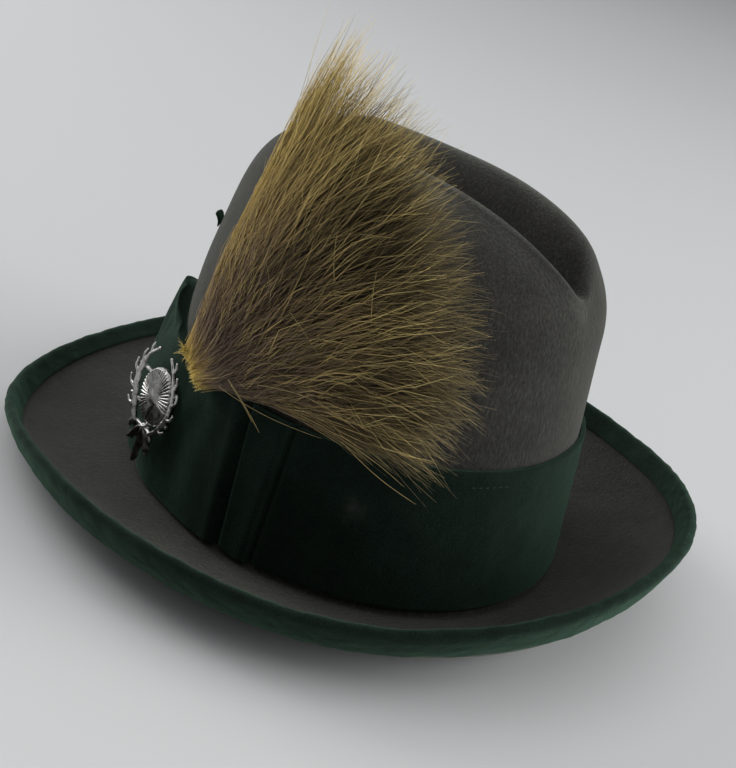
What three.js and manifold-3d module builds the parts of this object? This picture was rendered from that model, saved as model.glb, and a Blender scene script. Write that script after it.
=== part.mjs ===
// A felt fedora with a wide cloth band, a bound brim, a hunter's hair brush and a metal pin.
// Millimetres. The wearer looks along -Y, the wearer's left is +X, and the hat rests on z = 0.
import * as THREE from 'three';
import { mergeVertices } from 'three/addons/utils/BufferGeometryUtils.js';
import Module from 'manifold-3d';

const wasm = await Module();
wasm.setup();

// Driving dimensions

const FELT_WALL = 2.2;              // thickness of the blocked felt
const REST_DEPTH = 4.0;             // the resting face lies this far below the drawing plane
const CENTRE_SHIFT = 3.2;           // from the head opening's centre to the middle of the brim
const COLUMNS = 56;                 // facets round the hat
const REST_MARGIN = 0.35;           // felt this close above the resting face lies flat on it
const FIT_GAP = 0.3;                // clearance between pieces that touch

// The crown is an oval cone up to the shoulder, and a rounded dome above it.
const CROWN = {
  halfWidth: 83.6, halfLength: 95.2, squareness: 2.12,
  sideTaper: 0.12, frontTaper: 0.20, backTaper: 0.08,
  shoulderHeight: 100, topHeight: 155, frontRise: 4, backRoundness: 2.3, frontRoundness: 3.1,
};

// The centre crease: a trough with a ridge on each side, from front to back of the top.
const CREASE = {
  halfWidth: 22, narrowing: 0.035, front: -58, back: 79, squareness: 2.7,
  valleyFront: -42, valleyBack: 61, depth: 30, endDepth: 24,
};

// Finger dents on both sides of the crown's front.
const PINCH = { across: 47, forward: -49, height: 126, radius: 24, depth: 6 };

// The brim's edge, the slope it ends in, and how far its flat part reaches.
const BRIM = { halfWidth: 134.4, front: 152.2, back: 144.5, squareness: 2.08, leftDrop: 3.4 };
const BREAK = { radius: 2.0, topHeight: REST_DEPTH - FELT_WALL };
const BRIM_SECTIONS = [
  // degrees from the front, height and slope of the edge, upright stretch, flat reach, curl size
  { angle: 0, edgeHeight: 5.2, edgeSlope: 33, upright: 3, flat: 0.42, curl: 9 },
  { angle: 30, edgeHeight: 10.2, edgeSlope: 54, upright: 5, flat: 0.50, curl: 9 },
  { angle: 60, edgeHeight: 23.2, edgeSlope: 73, upright: 5, flat: 0.58, curl: 11 },
  { angle: 90, edgeHeight: 25.8, edgeSlope: 78, upright: 4, flat: 0.60, curl: 11 },
  { angle: 120, edgeHeight: 27.2, edgeSlope: 72, upright: 3, flat: 0.52, curl: 13 },
  { angle: 150, edgeHeight: 35.7, edgeSlope: 72, upright: 3, flat: 0.50, curl: 18 },
  { angle: 180, edgeHeight: 41.7, edgeSlope: 72, upright: 3, flat: 0.48, curl: 22 },
];
const BRIM_ROW_REACHES = [0.89, 0.75, 0.55, 0.28];   // rows inside the binding, from the break

// The cloth that is folded over the edge reaches further under the brim than over it.
const BINDING = { rowWidth: 4.5, overRows: 2, underRows: 3, thickness: 1.0 };

// The cloth band, the knot that it is gathered into at the front, and its knife pleats.
const BAND = { height: 60, thickness: 1.7, topLoosening: 0.5, rows: 5, frontDrop: 0.1, backRise: 3.2 };
const BAND_KNOT = { angle: 27, spread: 24, depth: 7, extraHeight: 10, headSpread: 17 };
const BAND_PLEATS = [
  // degrees from the front at the band's foot and head, step height, and how far forward it fades
  { foot: 88, head: 86, step: 2.6, fade: 16 },
  { foot: 96.5, head: 98, step: 2.4, fade: 9 },
];
const PLEAT_EDGE = 0.5;             // half the width of a pleat's step, degrees
const PLEAT_CLEAR = 1.5;            // columns of the felt nearer than this to a pleat give way, degrees

// The hair brush: locks that fan out from a bound root beside the crown.
const BRUSH = {
  root: [76.5, -38.8, 62.6],
  locks: 12, lockSides: 5, crowding: 1.45, raggedness: 0.06,
  lowestAngle: 7, highestAngle: 73, lift: 12.5, liftReach: 28, lean: 0.06,
  rootWidth: 2.2, rootDepth: 3.2, depth: 8.5, tipDepth: 1.6,
};
const BRUSH_OUTLINE = [
  // degrees above the backward direction, length of the lock
  { angle: 5, length: 108 }, { angle: 20, length: 135 }, { angle: 35, length: 142 },
  { angle: 50, length: 145 }, { angle: 65, length: 144 }, { angle: 80, length: 138 },
];
const ROOT_BINDING = { height: 16, width: 8, depth: 7.4, sides: 8 };

// The pin: a fluted disc in a ring of forked twigs, with a leaf at the foot, all soldered together.
const PIN = { angle: 53, height: 37, lean: 7, standOff: 1.4, backThickness: 1.6 };
const PIN_DISC = { radius: 12.6, dome: 3.4, flutes: 18, fluteDepth: 0.5, bossRadius: 3.4, bossHeight: 1.2 };
const PIN_TWIG = { radius: 0.95, spread: 16.4, top: 19, foot: -17, sides: 5, steps: 7 };
const PIN_TINES = [
  // how far up the twig, length, and degrees that it turns outward from the twig
  { along: 0.18, length: 5.0, turn: 58 }, { along: 0.36, length: 6.0, turn: 50 },
  { along: 0.54, length: 6.2, turn: 46 }, { along: 0.72, length: 5.6, turn: 44 },
  { along: 0.88, length: 4.6, turn: 62 },
];
const PIN_LEAVES = [
  // degrees from straight down, length, width
  { turn: -38, length: 8.5, width: 4.4 }, { turn: 0, length: 10.5, width: 5.2 },
  { turn: 38, length: 8.5, width: 4.4 },
];

// The cloth tab at the crown's front leans away from the felt.
const TAB = { angle: 25, height: 99, width: 11, rise: 13, thickness: 1.4, lean: 17 };

const FELT_GREY = 0x4a4744;
const BAND_GREEN = 0x0e2a20;
const HAIR_TAN = 0x6d5a2c;
const PIN_METAL = 0xb9b7b4;

const DEGREE = Math.PI / 180;

// Shared helpers

// A value of a table's column at an angle from the front, smooth and alike on both sides.
function sectionValue(table, column, degrees) {
  const step = table[1].angle - table[0].angle;
  const last = table.length - 1;
  const folded = Math.abs(((degrees + 180) % 360 + 360) % 360 - 180);
  const place = folded / step;
  const index = Math.min(Math.floor(place), last - 1);
  const mirror = (i) => (i < 0 ? -i : i > last ? 2 * last - i : i);
  const [p0, p1, p2, p3] = [-1, 0, 1, 2].map((k) => table[mirror(index + k)][column]);
  const t = place - index;
  return 0.5 * (2 * p1 + (p2 - p0) * t + (2 * p0 - 5 * p1 + 4 * p2 - p3) * t * t
    + (3 * p1 - p0 - 3 * p2 + p3) * t * t * t);
}

// A point of a squared oval, at an angle from the front towards the wearer's left.
function ovalPoint(angle, halfWidth, front, back, squareness) {
  const across = Math.sin(angle);
  const along = -Math.cos(angle);
  const power = 2 / squareness;
  const x = Math.sign(across) * Math.abs(across) ** power * halfWidth;
  const y = Math.sign(along) * Math.abs(along) ** power * (along < 0 ? front : back);
  return [x, y];
}

function geometryOf(points, triangles) {
  const geometry = new THREE.BufferGeometry();
  const positions = points.flatMap((p) => [p.x, p.y, p.z]);
  geometry.setAttribute('position', new THREE.Float32BufferAttribute(positions, 3));
  geometry.setIndex(triangles.flat());
  return geometry;
}

// Two triangles for a quad, split along its shorter diagonal.
function quadTriangles(points, a, b, c, d) {
  const cut = points[a].distanceTo(points[c]) <= points[b].distanceTo(points[d]) + 1e-3;
  return cut ? [[a, b, c], [a, c, d]] : [[a, b, d], [b, c, d]];
}

function solidOf(geometry) {
  const bare = geometry.clone();
  bare.deleteAttribute('normal');
  bare.deleteAttribute('uv');
  const merged = mergeVertices(bare, 1e-4);
  return new wasm.Manifold(new wasm.Mesh({
    numProp: 3,
    vertProperties: merged.attributes.position.array,
    triVerts: new Uint32Array(merged.index.array),
  }));
}

function geometryFromSolid(solid) {
  const mesh = solid.getMesh();
  const geometry = new THREE.BufferGeometry();
  geometry.setAttribute('position', new THREE.BufferAttribute(mesh.vertProperties, 3));
  geometry.setIndex(new THREE.BufferAttribute(mesh.triVerts, 1));
  return geometry;
}

function fused(geometries) {
  const solids = geometries.map(solidOf);
  return geometryFromSolid(solids.reduce((whole, solid) => whole.add(solid)));
}

// Rings of points, joined in turn and closed at both ends by fans.
function loftGeometry(rings) {
  const count = rings[0].length;
  const points = rings.flat();
  const triangles = [];
  rings.slice(1).forEach((ring, row) => {
    for (let i = 0; i < count; i++) {
      const j = (i + 1) % count;
      const a = row * count + i;
      const b = row * count + j;
      triangles.push(...quadTriangles(points, a, b, b + count, a + count));
    }
  });
  const end = (rings.length - 1) * count;
  for (let i = 1; i < count - 1; i++) {
    triangles.push([0, i + 1, i], [end, end + i, end + i + 1]);
  }
  return geometryOf(points, triangles);
}

// The crown's outer surface

function crownAxes(height) {
  return {
    halfWidth: CROWN.halfWidth - CROWN.sideTaper * height,
    front: CROWN.halfLength - CROWN.frontTaper * height,
    back: CROWN.halfLength - CROWN.backTaper * height,
  };
}

function wallPoint(angle, height) {
  const axes = crownAxes(height);
  const [x, y] = ovalPoint(angle, axes.halfWidth, axes.front, axes.back, CROWN.squareness);
  return new THREE.Vector3(x, y, height);
}

function domeHeight(x, y) {
  const axes = crownAxes(CROWN.shoulderHeight);
  const reach = y < 0 ? axes.front : axes.back;
  const sum = (Math.abs(x) / axes.halfWidth) ** CROWN.squareness
    + (Math.abs(y) / reach) ** CROWN.squareness;
  const q = Math.min(sum ** (1 / CROWN.squareness), 1);
  const forward = Math.min(Math.max(-y / axes.front, 0), 1);
  const eased = forward * forward * (3 - 2 * forward);
  const roundness = CROWN.backRoundness + (CROWN.frontRoundness - CROWN.backRoundness) * eased;
  const rise = (1 - q ** roundness) ** (1 / roundness);
  const top = CROWN.topHeight + CROWN.frontRise * eased;
  return CROWN.shoulderHeight + (top - CROWN.shoulderHeight) * rise;
}

// The ridge loop round the crease, narrower towards the back.
function ridgePoint(angle) {
  const middle = (CREASE.front + CREASE.back) / 2;
  const half = (CREASE.back - CREASE.front) / 2;
  const [x, y] = ovalPoint(angle, 1, half, half, CREASE.squareness);
  return [x * (CREASE.halfWidth - CREASE.narrowing * y), middle + y];
}

function creasePoint(angle, inward) {
  const [ridgeX, ridgeY] = ridgePoint(angle);
  const middle = (CREASE.valleyFront + CREASE.valleyBack) / 2;
  const half = (CREASE.valleyBack - CREASE.valleyFront) / 2;
  const valleyY = middle - half * Math.cos(angle);
  const x = ridgeX * (1 - inward);
  const y = ridgeY + (valleyY - ridgeY) * inward;
  const endwards = Math.abs(valleyY - middle) / half;
  const depth = CREASE.depth + (CREASE.endDepth - CREASE.depth) * endwards ** 2;
  const fall = Math.sin(inward * Math.PI / 2) ** 1.6;
  return new THREE.Vector3(x, y, domeHeight(x, y) - depth * fall);
}

function domePoint(angle, inward) {
  const edge = wallPoint(angle, CROWN.shoulderHeight);
  const [ridgeX, ridgeY] = ridgePoint(angle);
  const x = edge.x + (ridgeX - edge.x) * inward;
  const y = edge.y + (ridgeY - edge.y) * inward;
  return new THREE.Vector3(x, y, domeHeight(x, y));
}

function pinched(point) {
  for (const side of [-1, 1]) {
    const away = new THREE.Vector3(side * PINCH.across, PINCH.forward, PINCH.height).sub(point);
    const depth = PINCH.depth * Math.exp(-away.lengthSq() / PINCH.radius ** 2);
    const inward = new THREE.Vector3(-side, 0.6, -0.2).normalize();
    point.addScaledVector(inward, depth);
  }
  return point;
}

// The brim's top surface: a curve in each section, from the break to the edge.

function brimCurve(angle) {
  const degrees = angle / DEGREE;
  const axes = crownAxes(0);
  const outward = BREAK.radius;
  const [startX, startY] = ovalPoint(angle, axes.halfWidth + outward, axes.front + outward,
    axes.back + outward, CROWN.squareness);
  const [endX, endY] = ovalPoint(angle, BRIM.halfWidth, BRIM.front, BRIM.back, BRIM.squareness);
  const start = new THREE.Vector3(startX, startY, -BREAK.topHeight);
  const edgeHeight = sectionValue(BRIM_SECTIONS, 'edgeHeight', degrees)
    - BRIM.leftDrop * Math.sin(angle);
  const end = new THREE.Vector3(endX, endY, edgeHeight);
  const across = new THREE.Vector3(endX - startX, endY - startY, 0);
  const slope = sectionValue(BRIM_SECTIONS, 'edgeSlope', degrees) * DEGREE;
  const flat = sectionValue(BRIM_SECTIONS, 'flat', degrees);
  const curl = sectionValue(BRIM_SECTIONS, 'curl', degrees);
  const upright = sectionValue(BRIM_SECTIONS, 'upright', degrees);
  const tangent = across.clone().normalize().multiplyScalar(Math.cos(slope));
  tangent.z = Math.sin(slope);
  const flatEnd = start.clone().addScaledVector(across, flat);
  const foot = end.clone().addScaledVector(tangent, -upright);
  const curlStart = foot.clone().addScaledVector(tangent, -curl);
  const path = new THREE.CurvePath();
  path.add(new THREE.CubicBezierCurve3(start, flatEnd, curlStart, foot));
  path.add(new THREE.LineCurve3(foot, end));
  return path;
}

// Rows of the brim from the edge to the break, the first ones at the binding's own spacing.
function brimColumn(angle) {
  const curve = brimCurve(angle);
  const length = curve.getLength();
  const points = [];
  for (let row = 0; row <= BINDING.underRows; row++) {
    points.push(curve.getPoint(1 - BINDING.rowWidth * row / length));
  }
  const inside = 1 - BINDING.rowWidth * BINDING.underRows / length;
  for (const reach of BRIM_ROW_REACHES) {
    points.push(curve.getPoint(inside * reach));
  }
  return points;
}

function breakColumn(angle) {
  const axes = crownAxes(0);
  const centreHeight = BREAK.radius - BREAK.topHeight;
  return [90, 45].map((turn) => {
    const outward = BREAK.radius * (1 - Math.cos(turn * DEGREE));
    const drop = BREAK.radius * Math.sin(turn * DEGREE);
    const [x, y] = ovalPoint(angle, axes.halfWidth + outward, axes.front + outward,
      axes.back + outward, CROWN.squareness);
    return new THREE.Vector3(x, y, centreHeight - drop);
  });
}

// The felt body: crown and brim in one closed shell

const WALL_HEIGHTS = [BREAK.radius - BREAK.topHeight, 45, 80];
const DOME_ROWS = 7;
const CREASE_ROWS = 5;

function feltColumn(angle) {
  const points = [...brimColumn(angle), ...breakColumn(angle)];
  points.push(...WALL_HEIGHTS.map((height) => wallPoint(angle, height)));
  for (let row = 0; row <= DOME_ROWS; row++) {
    points.push(domePoint(angle, 1 - Math.cos(row / DOME_ROWS * Math.PI / 2)));
  }
  for (let row = 1; row <= CREASE_ROWS; row++) {
    points.push(creasePoint(angle, row / CREASE_ROWS));
  }
  return points.map(pinched);
}

function feltSurface() {
  const columns = [];
  for (let i = 0; i < COLUMNS; i++) {
    columns.push(feltColumn(2 * Math.PI * i / COLUMNS));
  }
  const rows = columns[0].length;
  const points = [];
  const index = columns.map(() => []);
  for (let row = 0; row < rows; row++) {
    for (let i = 0; i < COLUMNS; i++) {
      const twin = COLUMNS - i;
      const shared = row === rows - 1 && i > COLUMNS / 2;
      if (!shared) {
        points.push(columns[i][row]);
      }
      index[i].push(shared ? index[twin][row] : points.length - 1);
    }
  }
  const triangles = [];
  for (let row = 0; row < rows - 1; row++) {
    for (let i = 0; i < COLUMNS; i++) {
      const j = (i + 1) % COLUMNS;
      const [a, b] = [index[i][row], index[j][row]];
      const [c, d] = [index[j][row + 1], index[i][row + 1]];
      triangles.push(...quadTriangles(points, a, b, c, d));
    }
  }
  return { points, triangles, index, rows };
}

function vertexNormals(points, triangles) {
  const normals = points.map(() => new THREE.Vector3());
  for (const [a, b, c] of triangles) {
    const first = points[b].clone().sub(points[a]);
    const face = first.cross(points[c].clone().sub(points[a]));
    [a, b, c].forEach((corner) => normals[corner].add(face));
  }
  return normals.map((normal) => normal.normalize());
}

const surface = feltSurface();
const surfaceNormals = vertexNormals(surface.points, surface.triangles);

// The other side of the felt. What would sink below the resting face is flattened on it.
function underPoint(i) {
  const point = surface.points[i].clone().addScaledVector(surfaceNormals[i], -FELT_WALL);
  if (point.z < REST_MARGIN - REST_DEPTH) {
    point.z = -REST_DEPTH;
  }
  return point;
}

const underside = surface.points.map((_, i) => underPoint(i));

function feltBodyGeometry() {
  const count = surface.points.length;
  const triangles = [...surface.triangles];
  surface.triangles.forEach(([a, b, c]) => {
    triangles.push([a + count, c + count, b + count]);
  });
  for (let i = 0; i < COLUMNS; i++) {
    const a = surface.index[i][0];
    const b = surface.index[(i + 1) % COLUMNS][0];
    triangles.push([a, a + count, b + count], [a, b + count, b]);
  }
  return geometryOf([...surface.points, ...underside], triangles);
}

// The binding: the cloth lies on the top face, turns round the edge and goes back under it.
function bindingSection(column) {
  const ids = surface.index[column];
  const over = ids.slice(0, BINDING.overRows + 1).reverse();
  const under = ids.slice(0, BINDING.underRows + 1);
  const through = (id) => surface.points[id].clone().sub(underside[id]).normalize();
  const edge = surface.points[ids[0]].clone().add(underside[ids[0]]).multiplyScalar(0.5);
  const edgewise = surface.points[ids[0]].clone().sub(surface.points[ids[1]]).normalize();
  const path = (offset) => {
    const above = over.map((id) => surface.points[id].clone().addScaledVector(through(id), offset));
    const below = under.map((id) => underside[id].clone().addScaledVector(through(id), -offset));
    above[above.length - 1].addScaledVector(edgewise, FIT_GAP);
    below[0].addScaledVector(edgewise, FIT_GAP);
    return [...above, edge.clone().addScaledVector(edgewise, FIT_GAP + offset), ...below];
  };
  return [...path(FIT_GAP), ...path(FIT_GAP + BINDING.thickness).reverse()];
}

function bindingGeometry() {
  const rings = [];
  for (let i = 0; i < COLUMNS; i++) {
    rings.push(bindingSection(i));
  }
  return ringGeometry(rings);
}

// Sections swept round the hat, the last joined to the first.
function ringGeometry(rings) {
  const count = rings[0].length;
  const points = rings.flat();
  const triangles = [];
  rings.forEach((ring, i) => {
    const next = (i + 1) % rings.length;
    for (let k = 0; k < count; k++) {
      const l = (k + 1) % count;
      const [a, b] = [i * count + k, next * count + k];
      const [c, d] = [next * count + l, i * count + l];
      triangles.push(...quadTriangles(points, a, b, c, d));
    }
  });
  return geometryOf(points, triangles);
}

// The hat band

// The felt wall is faceted, so a point between two columns lies on the chord between them.
function facetedWallPoint(degrees, height, offset) {
  const step = 360 / COLUMNS;
  const place = ((degrees % 360) + 360) % 360 / step;
  const column = Math.floor(place);
  const corner = (k) => {
    const point = wallPoint(k * step * DEGREE, height);
    const ahead = wallPoint(k * step * DEGREE + 0.01, height);
    const behind = wallPoint(k * step * DEGREE - 0.01, height);
    const tangent = ahead.sub(behind).normalize();
    return point.addScaledVector(new THREE.Vector3(tangent.y, -tangent.x, 0), offset);
  };
  return corner(column).lerp(corner(column + 1), place - column);
}

function bandFoot(degrees) {
  const backward = (1 - Math.cos(degrees * DEGREE)) / 2;
  return BAND.frontDrop + (BAND.backRise - BAND.frontDrop) * backward ** 2;
}

// How much of the front knot an angle takes part in, from 0 to 1.
function knotShare(degrees, spread) {
  return Math.exp(-(((degrees - BAND_KNOT.angle) / spread) ** 2));
}

function bandHeight(degrees) {
  return BAND.height + BAND_KNOT.extraHeight * knotShare(degrees, BAND_KNOT.headSpread);
}

function bandThickness(degrees, rise) {
  const fullness = Math.sin(Math.PI * (0.08 + 0.72 * rise)) ** 1.3;
  let thickness = BAND.thickness + BAND.topLoosening * rise
    + BAND_KNOT.depth * knotShare(degrees, BAND_KNOT.spread) * fullness;
  for (const pleat of BAND_PLEATS) {
    const line = pleat.foot + (pleat.head - pleat.foot) * rise;
    const ahead = line - degrees;
    if (ahead > 0) {
      thickness += pleat.step * Math.max(0, 1 - ahead / pleat.fade);
    }
  }
  return thickness;
}

// Columns at the felt's own angles. Each pleat's step has two that lean with it on the outer
// face, and on the inner face they take the place of a column of the felt that they displace.
function bandColumns() {
  const step = 360 / COLUMNS;
  const columns = [...Array(COLUMNS).keys()].map((i) => ({ outer: () => i * step, inner: i * step }));
  for (const pleat of BAND_PLEATS) {
    const low = Math.min(pleat.foot, pleat.head) - PLEAT_CLEAR;
    const high = Math.max(pleat.foot, pleat.head) + PLEAT_CLEAR;
    const first = columns.findIndex((column) => column.inner > low);
    const displaced = columns[first].inner < high;
    const inner = displaced ? columns[first].inner : low;
    const edges = [-PLEAT_EDGE, PLEAT_EDGE].map((side, k) => ({
      outer: (rise) => pleat.foot + (pleat.head - pleat.foot) * rise + side,
      inner: inner + k,
    }));
    columns.splice(first, displaced ? 1 : 0, ...edges);
  }
  return columns;
}

function bandGeometry() {
  const rings = bandColumns().map((column) => {
    const outer = [];
    const inner = [];
    for (let row = 0; row <= BAND.rows; row++) {
      const rise = row / BAND.rows;
      const degrees = column.outer(rise);
      const height = bandFoot(degrees) + bandHeight(degrees) * rise;
      const thickness = bandThickness(degrees, rise);
      outer.push(facetedWallPoint(degrees, height, FIT_GAP + thickness));
      inner.push(facetedWallPoint(column.inner, height, FIT_GAP));
    }
    return [...outer, ...inner.reverse()];
  });
  return ringGeometry(rings);
}

// Frames on the hat's side: across points backward, up along the wall, out away from it.

function sideFrame(surfacePoint, degrees, height, lean) {
  const at = surfacePoint(degrees, height);
  const upward = surfacePoint(degrees, height + 4).sub(surfacePoint(degrees, height - 4));
  const backward = surfacePoint(degrees + 4, height).sub(surfacePoint(degrees - 4, height));
  const across = backward.normalize();
  const out = across.clone().cross(upward).normalize();
  const up = out.clone().cross(across).normalize();
  across.applyAxisAngle(up, lean * DEGREE);
  out.applyAxisAngle(up, lean * DEGREE);
  return { at, across, up, out };
}

function placed(geometry, frame, offset) {
  const origin = frame.at.clone().addScaledVector(frame.out, offset);
  const matrix = new THREE.Matrix4().makeBasis(frame.across, frame.up, frame.out).setPosition(origin);
  return geometry.applyMatrix4(matrix);
}

// The hair brush

// The fan's middle surface bends outward from the root, and leans in with the crown's side.
function fanPoint(angle, distance) {
  const [x, y, z] = BRUSH.root;
  const lifted = BRUSH.lift * (1 - Math.exp(-distance / BRUSH.liftReach));
  const rise = distance * Math.sin(angle);
  return new THREE.Vector3(x + lifted - BRUSH.lean * rise, y + distance * Math.cos(angle), z + rise);
}

function outlineLength(degrees) {
  const step = BRUSH_OUTLINE[1].angle - BRUSH_OUTLINE[0].angle;
  const place = Math.min(Math.max((degrees - BRUSH_OUTLINE[0].angle) / step, 0), BRUSH_OUTLINE.length - 1);
  const index = Math.min(Math.floor(place), BRUSH_OUTLINE.length - 2);
  const [low, high] = [BRUSH_OUTLINE[index].length, BRUSH_OUTLINE[index + 1].length];
  return low + (high - low) * (place - index);
}

const LOCK_STATIONS = [
  // part of the length, width and depth as parts of the fan's own there
  { along: 0.01, width: 1.0, depth: 0.0 }, { along: 0.28, width: 1.0, depth: 0.75 },
  { along: 0.62, width: 1.0, depth: 1.0 }, { along: 0.86, width: 0.72, depth: 0.6 },
  { along: 1.0, width: 0.16, depth: 0.0 },
];

function lockGeometry(index) {
  const spacing = (BRUSH.highestAngle - BRUSH.lowestAngle) / (BRUSH.locks - 1);
  const degrees = BRUSH.lowestAngle + spacing * index;
  const ragged = 1 + BRUSH.raggedness * ((index % 2) - 0.5);
  const length = outlineLength(degrees) * ragged;
  const angle = degrees * DEGREE;
  const sideways = new THREE.Vector3(0, -Math.sin(angle), Math.cos(angle));
  const rings = LOCK_STATIONS.map((station) => {
    const distance = length * station.along;
    const centre = fanPoint(angle, distance);
    const half = (BRUSH.rootWidth + distance * spacing * DEGREE / 2 * BRUSH.crowding) * station.width;
    const least = distance < length / 2 ? BRUSH.rootDepth : BRUSH.tipDepth;
    const depth = least + (BRUSH.depth - least) * station.depth;
    return [...Array(BRUSH.lockSides).keys()].map((k) => {
      const turn = 2 * Math.PI * k / BRUSH.lockSides;
      return centre.clone().addScaledVector(sideways, half * Math.cos(turn))
        .add(new THREE.Vector3(depth * Math.sin(turn), 0, 0));
    });
  });
  return loftGeometry(rings);
}

function rootBindingGeometry() {
  const [x, y, z] = BRUSH.root;
  const rings = [-0.5, -0.3, 0.3, 0.5].map((part) => {
    const pinch = Math.abs(part) > 0.4 ? 0.72 : 1;
    return [...Array(ROOT_BINDING.sides).keys()].map((k) => {
      const turn = 2 * Math.PI * k / ROOT_BINDING.sides;
      return new THREE.Vector3(
        x + ROOT_BINDING.depth / 2 * pinch * Math.cos(turn),
        y + ROOT_BINDING.width / 2 * pinch * Math.sin(turn),
        z + ROOT_BINDING.height * part,
      );
    });
  });
  return loftGeometry(rings);
}

function brushGeometry() {
  const locks = [...Array(BRUSH.locks).keys()].map(lockGeometry);
  return fused([rootBindingGeometry(), ...locks]);
}

// The pin, drawn flat with its back on z = 0

// A domed disc whose upper face rises and falls with the flutes.
function discGeometry() {
  const { radius, dome, flutes, fluteDepth } = PIN_DISC;
  const count = flutes * 2;
  const ring = (r, z, wave) => [...Array(count).keys()].map((k) => {
    const turn = 2 * Math.PI * k / count;
    const lift = wave * (k % 2 === 0 ? 1 : -1);
    return new THREE.Vector3(r * Math.cos(turn), r * Math.sin(turn), z + lift);
  });
  const top = PIN.backThickness;
  return loftGeometry([
    ring(radius, 0, 0),
    ring(radius, top, fluteDepth * 0.6),
    ring(radius * 0.72, top + dome * 0.62, fluteDepth),
    ring(radius * 0.28, top + dome, 0),
  ]);
}

function bossGeometry() {
  const { bossRadius, dome, bossHeight } = PIN_DISC;
  const base = PIN.backThickness + dome * 0.6;
  const top = PIN.backThickness + dome + bossHeight;
  const sides = 10;
  const rings = [[bossRadius, base], [bossRadius, top - 0.5], [bossRadius * 0.75, top]];
  return loftGeometry(rings.map(([r, z]) => [...Array(sides).keys()].map((k) => {
    const turn = 2 * Math.PI * k / sides;
    return new THREE.Vector3(r * Math.cos(turn) * 0.85, r * Math.sin(turn) * 1.15, z);
  })));
}

function rodGeometry(points, radius, tipRadius, sides) {
  const rings = points.map((point, i) => {
    const next = points[Math.min(i + 1, points.length - 1)];
    const previous = points[Math.max(i - 1, 0)];
    const along = next.clone().sub(previous).normalize();
    const level = new THREE.Vector3(0, 0, 1).cross(along).normalize();
    const rise = along.clone().cross(level);
    const r = radius + (tipRadius - radius) * i / (points.length - 1);
    return [...Array(sides).keys()].map((k) => {
      const turn = 2 * Math.PI * k / sides;
      return point.clone().addScaledVector(level, r * Math.cos(turn))
        .addScaledVector(rise, r * Math.sin(turn));
    });
  });
  return loftGeometry(rings);
}

// A twig climbs from the foot round one side of the disc to the top.
function twigPoint(side, along) {
  const { spread, top, foot } = PIN_TWIG;
  const bow = Math.sin(Math.PI * (0.08 + 0.84 * along)) ** 0.7;
  return new THREE.Vector3(side * spread * bow - side * 1.5, foot + (top - foot) * along,
    PIN.backThickness + 0.4 + 0.5 * bow);
}

function twigGeometries(side) {
  const { radius, sides, steps } = PIN_TWIG;
  const points = [...Array(steps + 1).keys()].map((k) => twigPoint(side, k / steps));
  const tines = PIN_TINES.map((tine) => {
    const start = twigPoint(side, tine.along);
    const heading = twigPoint(side, tine.along + 0.05).sub(start).normalize();
    const axis = new THREE.Vector3(0, 0, 1);
    const straight = heading.clone().applyAxisAngle(axis, -side * tine.turn * DEGREE);
    const curled = heading.clone().applyAxisAngle(axis, -side * (tine.turn - 42) * DEGREE);
    const knee = start.clone().addScaledVector(straight, tine.length * 0.55);
    const tip = knee.clone().addScaledVector(curled, tine.length * 0.5);
    return rodGeometry([start, knee, tip], radius * 0.85, radius * 0.4, sides);
  });
  return [rodGeometry(points, radius * 1.15, radius * 0.7, sides), ...tines];
}

function barGeometry([fromX, fromY], [toX, toY]) {
  const ends = [new THREE.Vector3(fromX, fromY, 1.4), new THREE.Vector3(toX, toY, 1.4)];
  return rodGeometry(ends, 0.9, 0.9, 6);
}

// A lobed leaf whose middle vein stands proud.
function leafGeometry({ turn, length, width }) {
  const lobes = [0.35, 1.0, 0.62, 0.95, 0.5, 0.62, 0.12];
  const rings = lobes.map((lobe, i) => {
    const y = -length * i / (lobes.length - 1);
    const half = width / 2 * lobe;
    return [[-half, 0.3], [0, 0], [half, 0.3], [0, 2.1]].map(([x, z]) => new THREE.Vector3(x, y, z));
  });
  const leaf = loftGeometry(rings);
  leaf.rotateZ(turn * DEGREE);
  leaf.translate(0, PIN_TWIG.foot + 3.2, 0.6);
  return leaf;
}

// Short bars behind the disc carry the twigs, and one down the middle carries the leaves.
function pinGeometry() {
  const reach = PIN_TWIG.spread - 1.2;
  const footHeight = PIN_TWIG.foot + 1.8;
  return fused([
    discGeometry(),
    bossGeometry(),
    barGeometry([-reach, -7], [reach, -7]),
    barGeometry([-reach, 7], [reach, 7]),
    barGeometry([-reach * 0.4, footHeight], [reach * 0.4, footHeight]),
    barGeometry([0, PIN_TWIG.foot], [0, -PIN_DISC.radius * 0.7]),
    ...twigGeometries(-1),
    ...twigGeometries(1),
    ...PIN_LEAVES.map(leafGeometry),
  ]);
}

// The front tab

function tabGeometry() {
  const { width, rise, thickness, lean } = TAB;
  const outline = new THREE.Shape([
    new THREE.Vector2(-width * 0.32, 0), new THREE.Vector2(width * 0.32, 0),
    new THREE.Vector2(width / 2, rise * 0.9), new THREE.Vector2(width * 0.36, rise),
    new THREE.Vector2(-width * 0.42, rise * 0.94), new THREE.Vector2(-width / 2, rise * 0.8),
  ]);
  const tab = new THREE.ExtrudeGeometry(outline, { depth: thickness, bevelEnabled: false });
  tab.rotateX(lean * DEGREE);
  return tab;
}

// The model

function cloth(colour) {
  return new THREE.MeshStandardMaterial({ color: colour, roughness: 0.95, metalness: 0 });
}

const hat = new THREE.Group();
hat.position.set(0, CENTRE_SHIFT, REST_DEPTH);

function addPiece(name, geometry, material) {
  const piece = new THREE.Mesh(geometry, material);
  piece.name = name;
  hat.add(piece);
  return piece;
}

addPiece('felt_body', feltBodyGeometry(), cloth(FELT_GREY));
addPiece('brim_binding', bindingGeometry(), cloth(BAND_GREEN));
addPiece('hat_band', bandGeometry(), cloth(BAND_GREEN));
addPiece('hair_brush', brushGeometry(), cloth(HAIR_TAN));

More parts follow.
